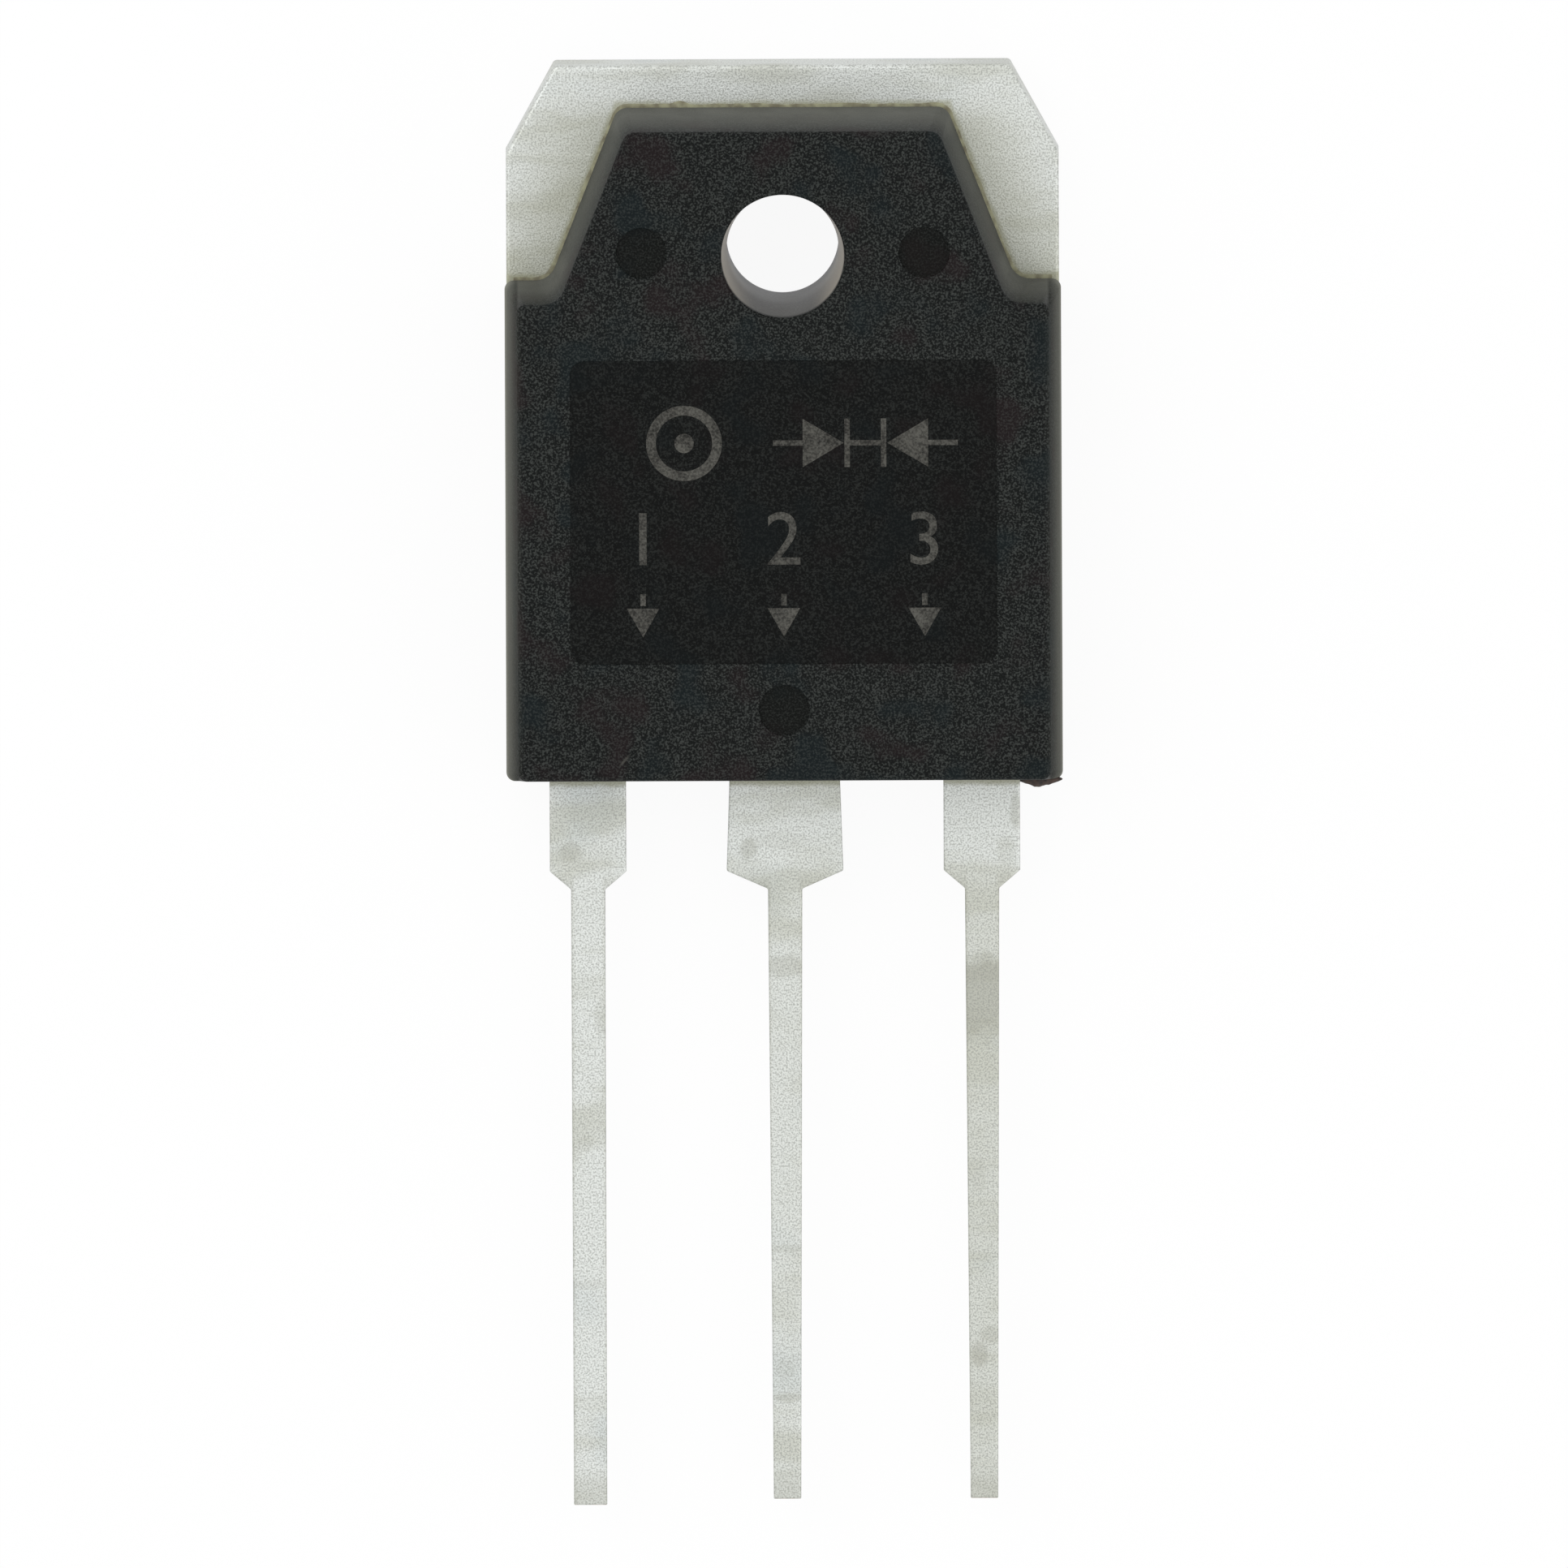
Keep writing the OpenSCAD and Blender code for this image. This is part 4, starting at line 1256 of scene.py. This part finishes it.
class PACKAGE_OT_metal(bpy.types.Operator):
    """Build the header and the outer leads in matte tin plate"""

    bl_idname = "package.metal"
    bl_label = "Header and leads"

    def execute(self, context):
        sizes = context.scene.package_metal
        tin = tin_finish(context.scene)
        header = finished(heat_sink_header(sizes), tin)
        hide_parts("header")
        rows = (("left_outer_lead", -1, LEFT_LOW, sizes.left_tip, "left_lead"),
                ("right_outer_lead", 1, RIGHT_LOW, sizes.tip, "right_lead"))
        for name, side, low, tip, node in rows:
            lead = finished(outer_lead(name, side, sizes, low, tip), tin)
            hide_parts(node)
        return {"FINISHED"}


class PACKAGE_OT_marks(bpy.types.Operator):
    """Put the laser marks on the panel"""

    bl_idname = "package.marks"
    bl_label = "Laser marks"

    def execute(self, context):
        finished(laser_marks(context.scene), laser_finish(context.scene))
        return {"FINISHED"}


# Finishes of the inner pieces, by the last word of the node's name: finish, colour, share
# of it in the darker shade, size of the mottling, metal share, roughness, bump's depth
INNER_FINISHES = {
    "solder": ("soft_solder", "solder", 0.7, 0.4, 0.8, 0.5, 0.01),
    "die": ("metallised_silicon", "silicon", 0.8, 0.8, 0.4, 0.25, 0.002),
    "wire": ("drawn_aluminium", "aluminium", 0.9, 0.15, 1.0, 0.35, 0.004),
}


class PACKAGE_OT_inside(bpy.types.Operator):
    """Give the solder, the dies and the bond wires inside their finishes"""

    bl_idname = "package.inside"
    bl_label = "Inner pieces"

    def execute(self, context):
        looks = context.scene.package_finishes
        for word, (name, tone, darker, *rest) in INNER_FINISHES.items():
            first = getattr(looks, tone)
            material = plain_finish(name, first, [darker * c for c in first], *rest)
            for node_name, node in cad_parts.items():
                if node_name.endswith(word):
                    node.data.materials.clear()
                    node.data.materials.append(material)
        return {"FINISHED"}


# How far the floor lies under the part, which keeps the two from touching
FLOOR_DROP = 0.02 * MM
# Width of the soft lights, their places, and where they aim
LIGHT_WIDE = 160 * MM
KEY_PLACE = Vector((-90, 70, 150)) * MM
FILL_PLACE = Vector((110, -60, 120)) * MM
LIGHT_AIM = Vector((0, -15 * MM, 0))


class PACKAGE_OT_stage(bpy.types.Operator):
    """Lay the floor, hang the soft lights and aim the camera"""

    bl_idname = "package.stage"
    bl_label = "Stage"

    def execute(self, context):
        scene, stage = context.scene, context.scene.package_stage
        half = stage.floor / 2
        corners = np.array([(-half, -half), (half, -half), (half, half), (-half, half)])
        shell = Shell()
        shell.cap([corners], -FLOOR_DROP)
        floor = shell.piece("floor")
        floor.data.materials.append(floor_finish(stage))
        scene.world = soft_white(stage)
        soft_light("key_light", stage.key, KEY_PLACE)
        soft_light("fill_light", stage.fill, FILL_PLACE)
        scene.camera = photo_camera(stage)
        scene.view_settings.view_transform = "Standard"
        return {"FINISHED"}


# Rays that see the floor and the world as plain white
WHITE_RAYS = ("Is Camera Ray", "Is Glossy Ray", "Is Transmission Ray")


def soft_white(stage):
    """World: an even light, and plain white for the camera, for gloss and for glass."""
    world = bpy.data.worlds.new("soft_white")
    world.use_nodes = True
    nodes, links = world.node_tree.nodes, world.node_tree.links
    back = nodes["Background"]
    back.inputs["Color"].default_value = (1, 1, 1, 1)
    path = nodes.new("ShaderNodeLightPath")
    seen = path.outputs[WHITE_RAYS[0]]
    for name in WHITE_RAYS[1:]:
        most = nodes.new("ShaderNodeMath")
        most.operation = "MAXIMUM"
        links.new(seen, most.inputs[0])
        links.new(path.outputs[name], most.inputs[1])
        seen = most.outputs[0]
    mix = nodes.new("ShaderNodeMix")
    links.new(seen, mix.inputs["Factor"])
    mix.inputs["A"].default_value = stage.world
    mix.inputs["B"].default_value = 1.0
    links.new(mix.outputs["Result"], back.inputs["Strength"])
    return world


def photo_camera(stage):
    """Straight view without perspective, leaned and turned as the photo's was."""
    camera = bpy.data.objects.new("camera", bpy.data.cameras.new("camera"))
    bpy.context.scene.collection.objects.link(camera)
    camera.data.type = "ORTHO"
    camera.data.ortho_scale = PHOTO_PIXELS / stage.pixels_per_mm * MM
    camera.data.clip_start, camera.data.clip_end = 10 * MM, 2000 * MM
    lean = Euler((-stage.tilt, 0, 0)).to_matrix()
    turn = Euler((0, 0, stage.roll)).to_matrix()
    aim = lean @ turn
    target = Vector((stage.target_x, stage.target_y, 0))
    camera.rotation_euler = aim.to_euler()
    camera.location = target + aim @ Vector((0, 0, stage.distance))
    return camera


def floor_finish(stage):
    """Pale floor: diffuse white, and plain white for the camera and for reflections."""
    finish = Finish("pale_floor")
    finish.nodes.remove(finish.shader)
    speckle = finish.noise(4 * MM, 2.0)
    shade = finish.blend(speckle, (0.90, 0.90, 0.90), (0.93, 0.93, 0.93))
    matte = finish.node("ShaderNodeBsdfDiffuse", {}, {"Color": shade})
    glow = finish.node("ShaderNodeEmission", {}, {"Strength": 1.0})
    camera, glossy, through = [finish.node("ShaderNodeLightPath", {}, {}, name)
                               for name in WHITE_RAYS]
    seen = camera.most(glossy).most(through) * stage.white
    mixed = finish.node("ShaderNodeMixShader", {}, {0: seen, 1: matte, 2: glow})
    output = finish.nodes["Material Output"]
    finish.links.new(mixed.socket, output.inputs["Surface"])
    return finish.material


def soft_light(name, power, place):
    """Square area light at a place, aimed at the middle of the part."""
    light = bpy.data.lights.new(name, "AREA")
    light.energy, light.size = power, LIGHT_WIDE
    lamp = bpy.data.objects.new(name, light)
    bpy.context.scene.collection.objects.link(lamp)
    lamp.location = place
    lamp.rotation_euler = (LIGHT_AIM - place).to_track_quat("-Z", "Y").to_euler()


class PACKAGE_PT_panel(bpy.types.Panel):
    """Lists the builders and their sizes in the sidebar"""

    bl_idname = "PACKAGE_PT_panel"
    bl_label = "Moulded power package"
    bl_space_type = "VIEW_3D"
    bl_region_type = "UI"
    bl_category = "Package"

    def draw(self, context):
        for operator in OPERATORS:
            self.layout.operator(operator.bl_idname)
        for name, group in GROUPS.items():
            box = self.layout.box()
            box.label(text=group.__doc__)
            for prop in group.__annotations__:
                box.prop(getattr(context.scene, name), prop)


OPERATORS = (PACKAGE_OT_stage, PACKAGE_OT_moulding, PACKAGE_OT_metal, PACKAGE_OT_marks,
             PACKAGE_OT_inside)


def register():
    for group in GROUPS.values():
        bpy.utils.register_class(group)
    for operator in OPERATORS:
        bpy.utils.register_class(operator)
    bpy.utils.register_class(PACKAGE_PT_panel)
    for name, group in GROUPS.items():
        setattr(bpy.types.Scene, name, PointerProperty(type=group))


def unregister():
    for name in GROUPS:
        delattr(bpy.types.Scene, name)
    bpy.utils.unregister_class(PACKAGE_PT_panel)
    for operator in OPERATORS:
        bpy.utils.unregister_class(operator)
    for group in GROUPS.values():
        bpy.utils.unregister_class(group)


def main():
    """Registers the add-on and builds everything."""
    register()
    bpy.ops.package.stage()
    bpy.ops.package.moulding()
    bpy.ops.package.metal()
    bpy.ops.package.marks()
    bpy.ops.package.inside()


if __name__ == "__main__":
    main()
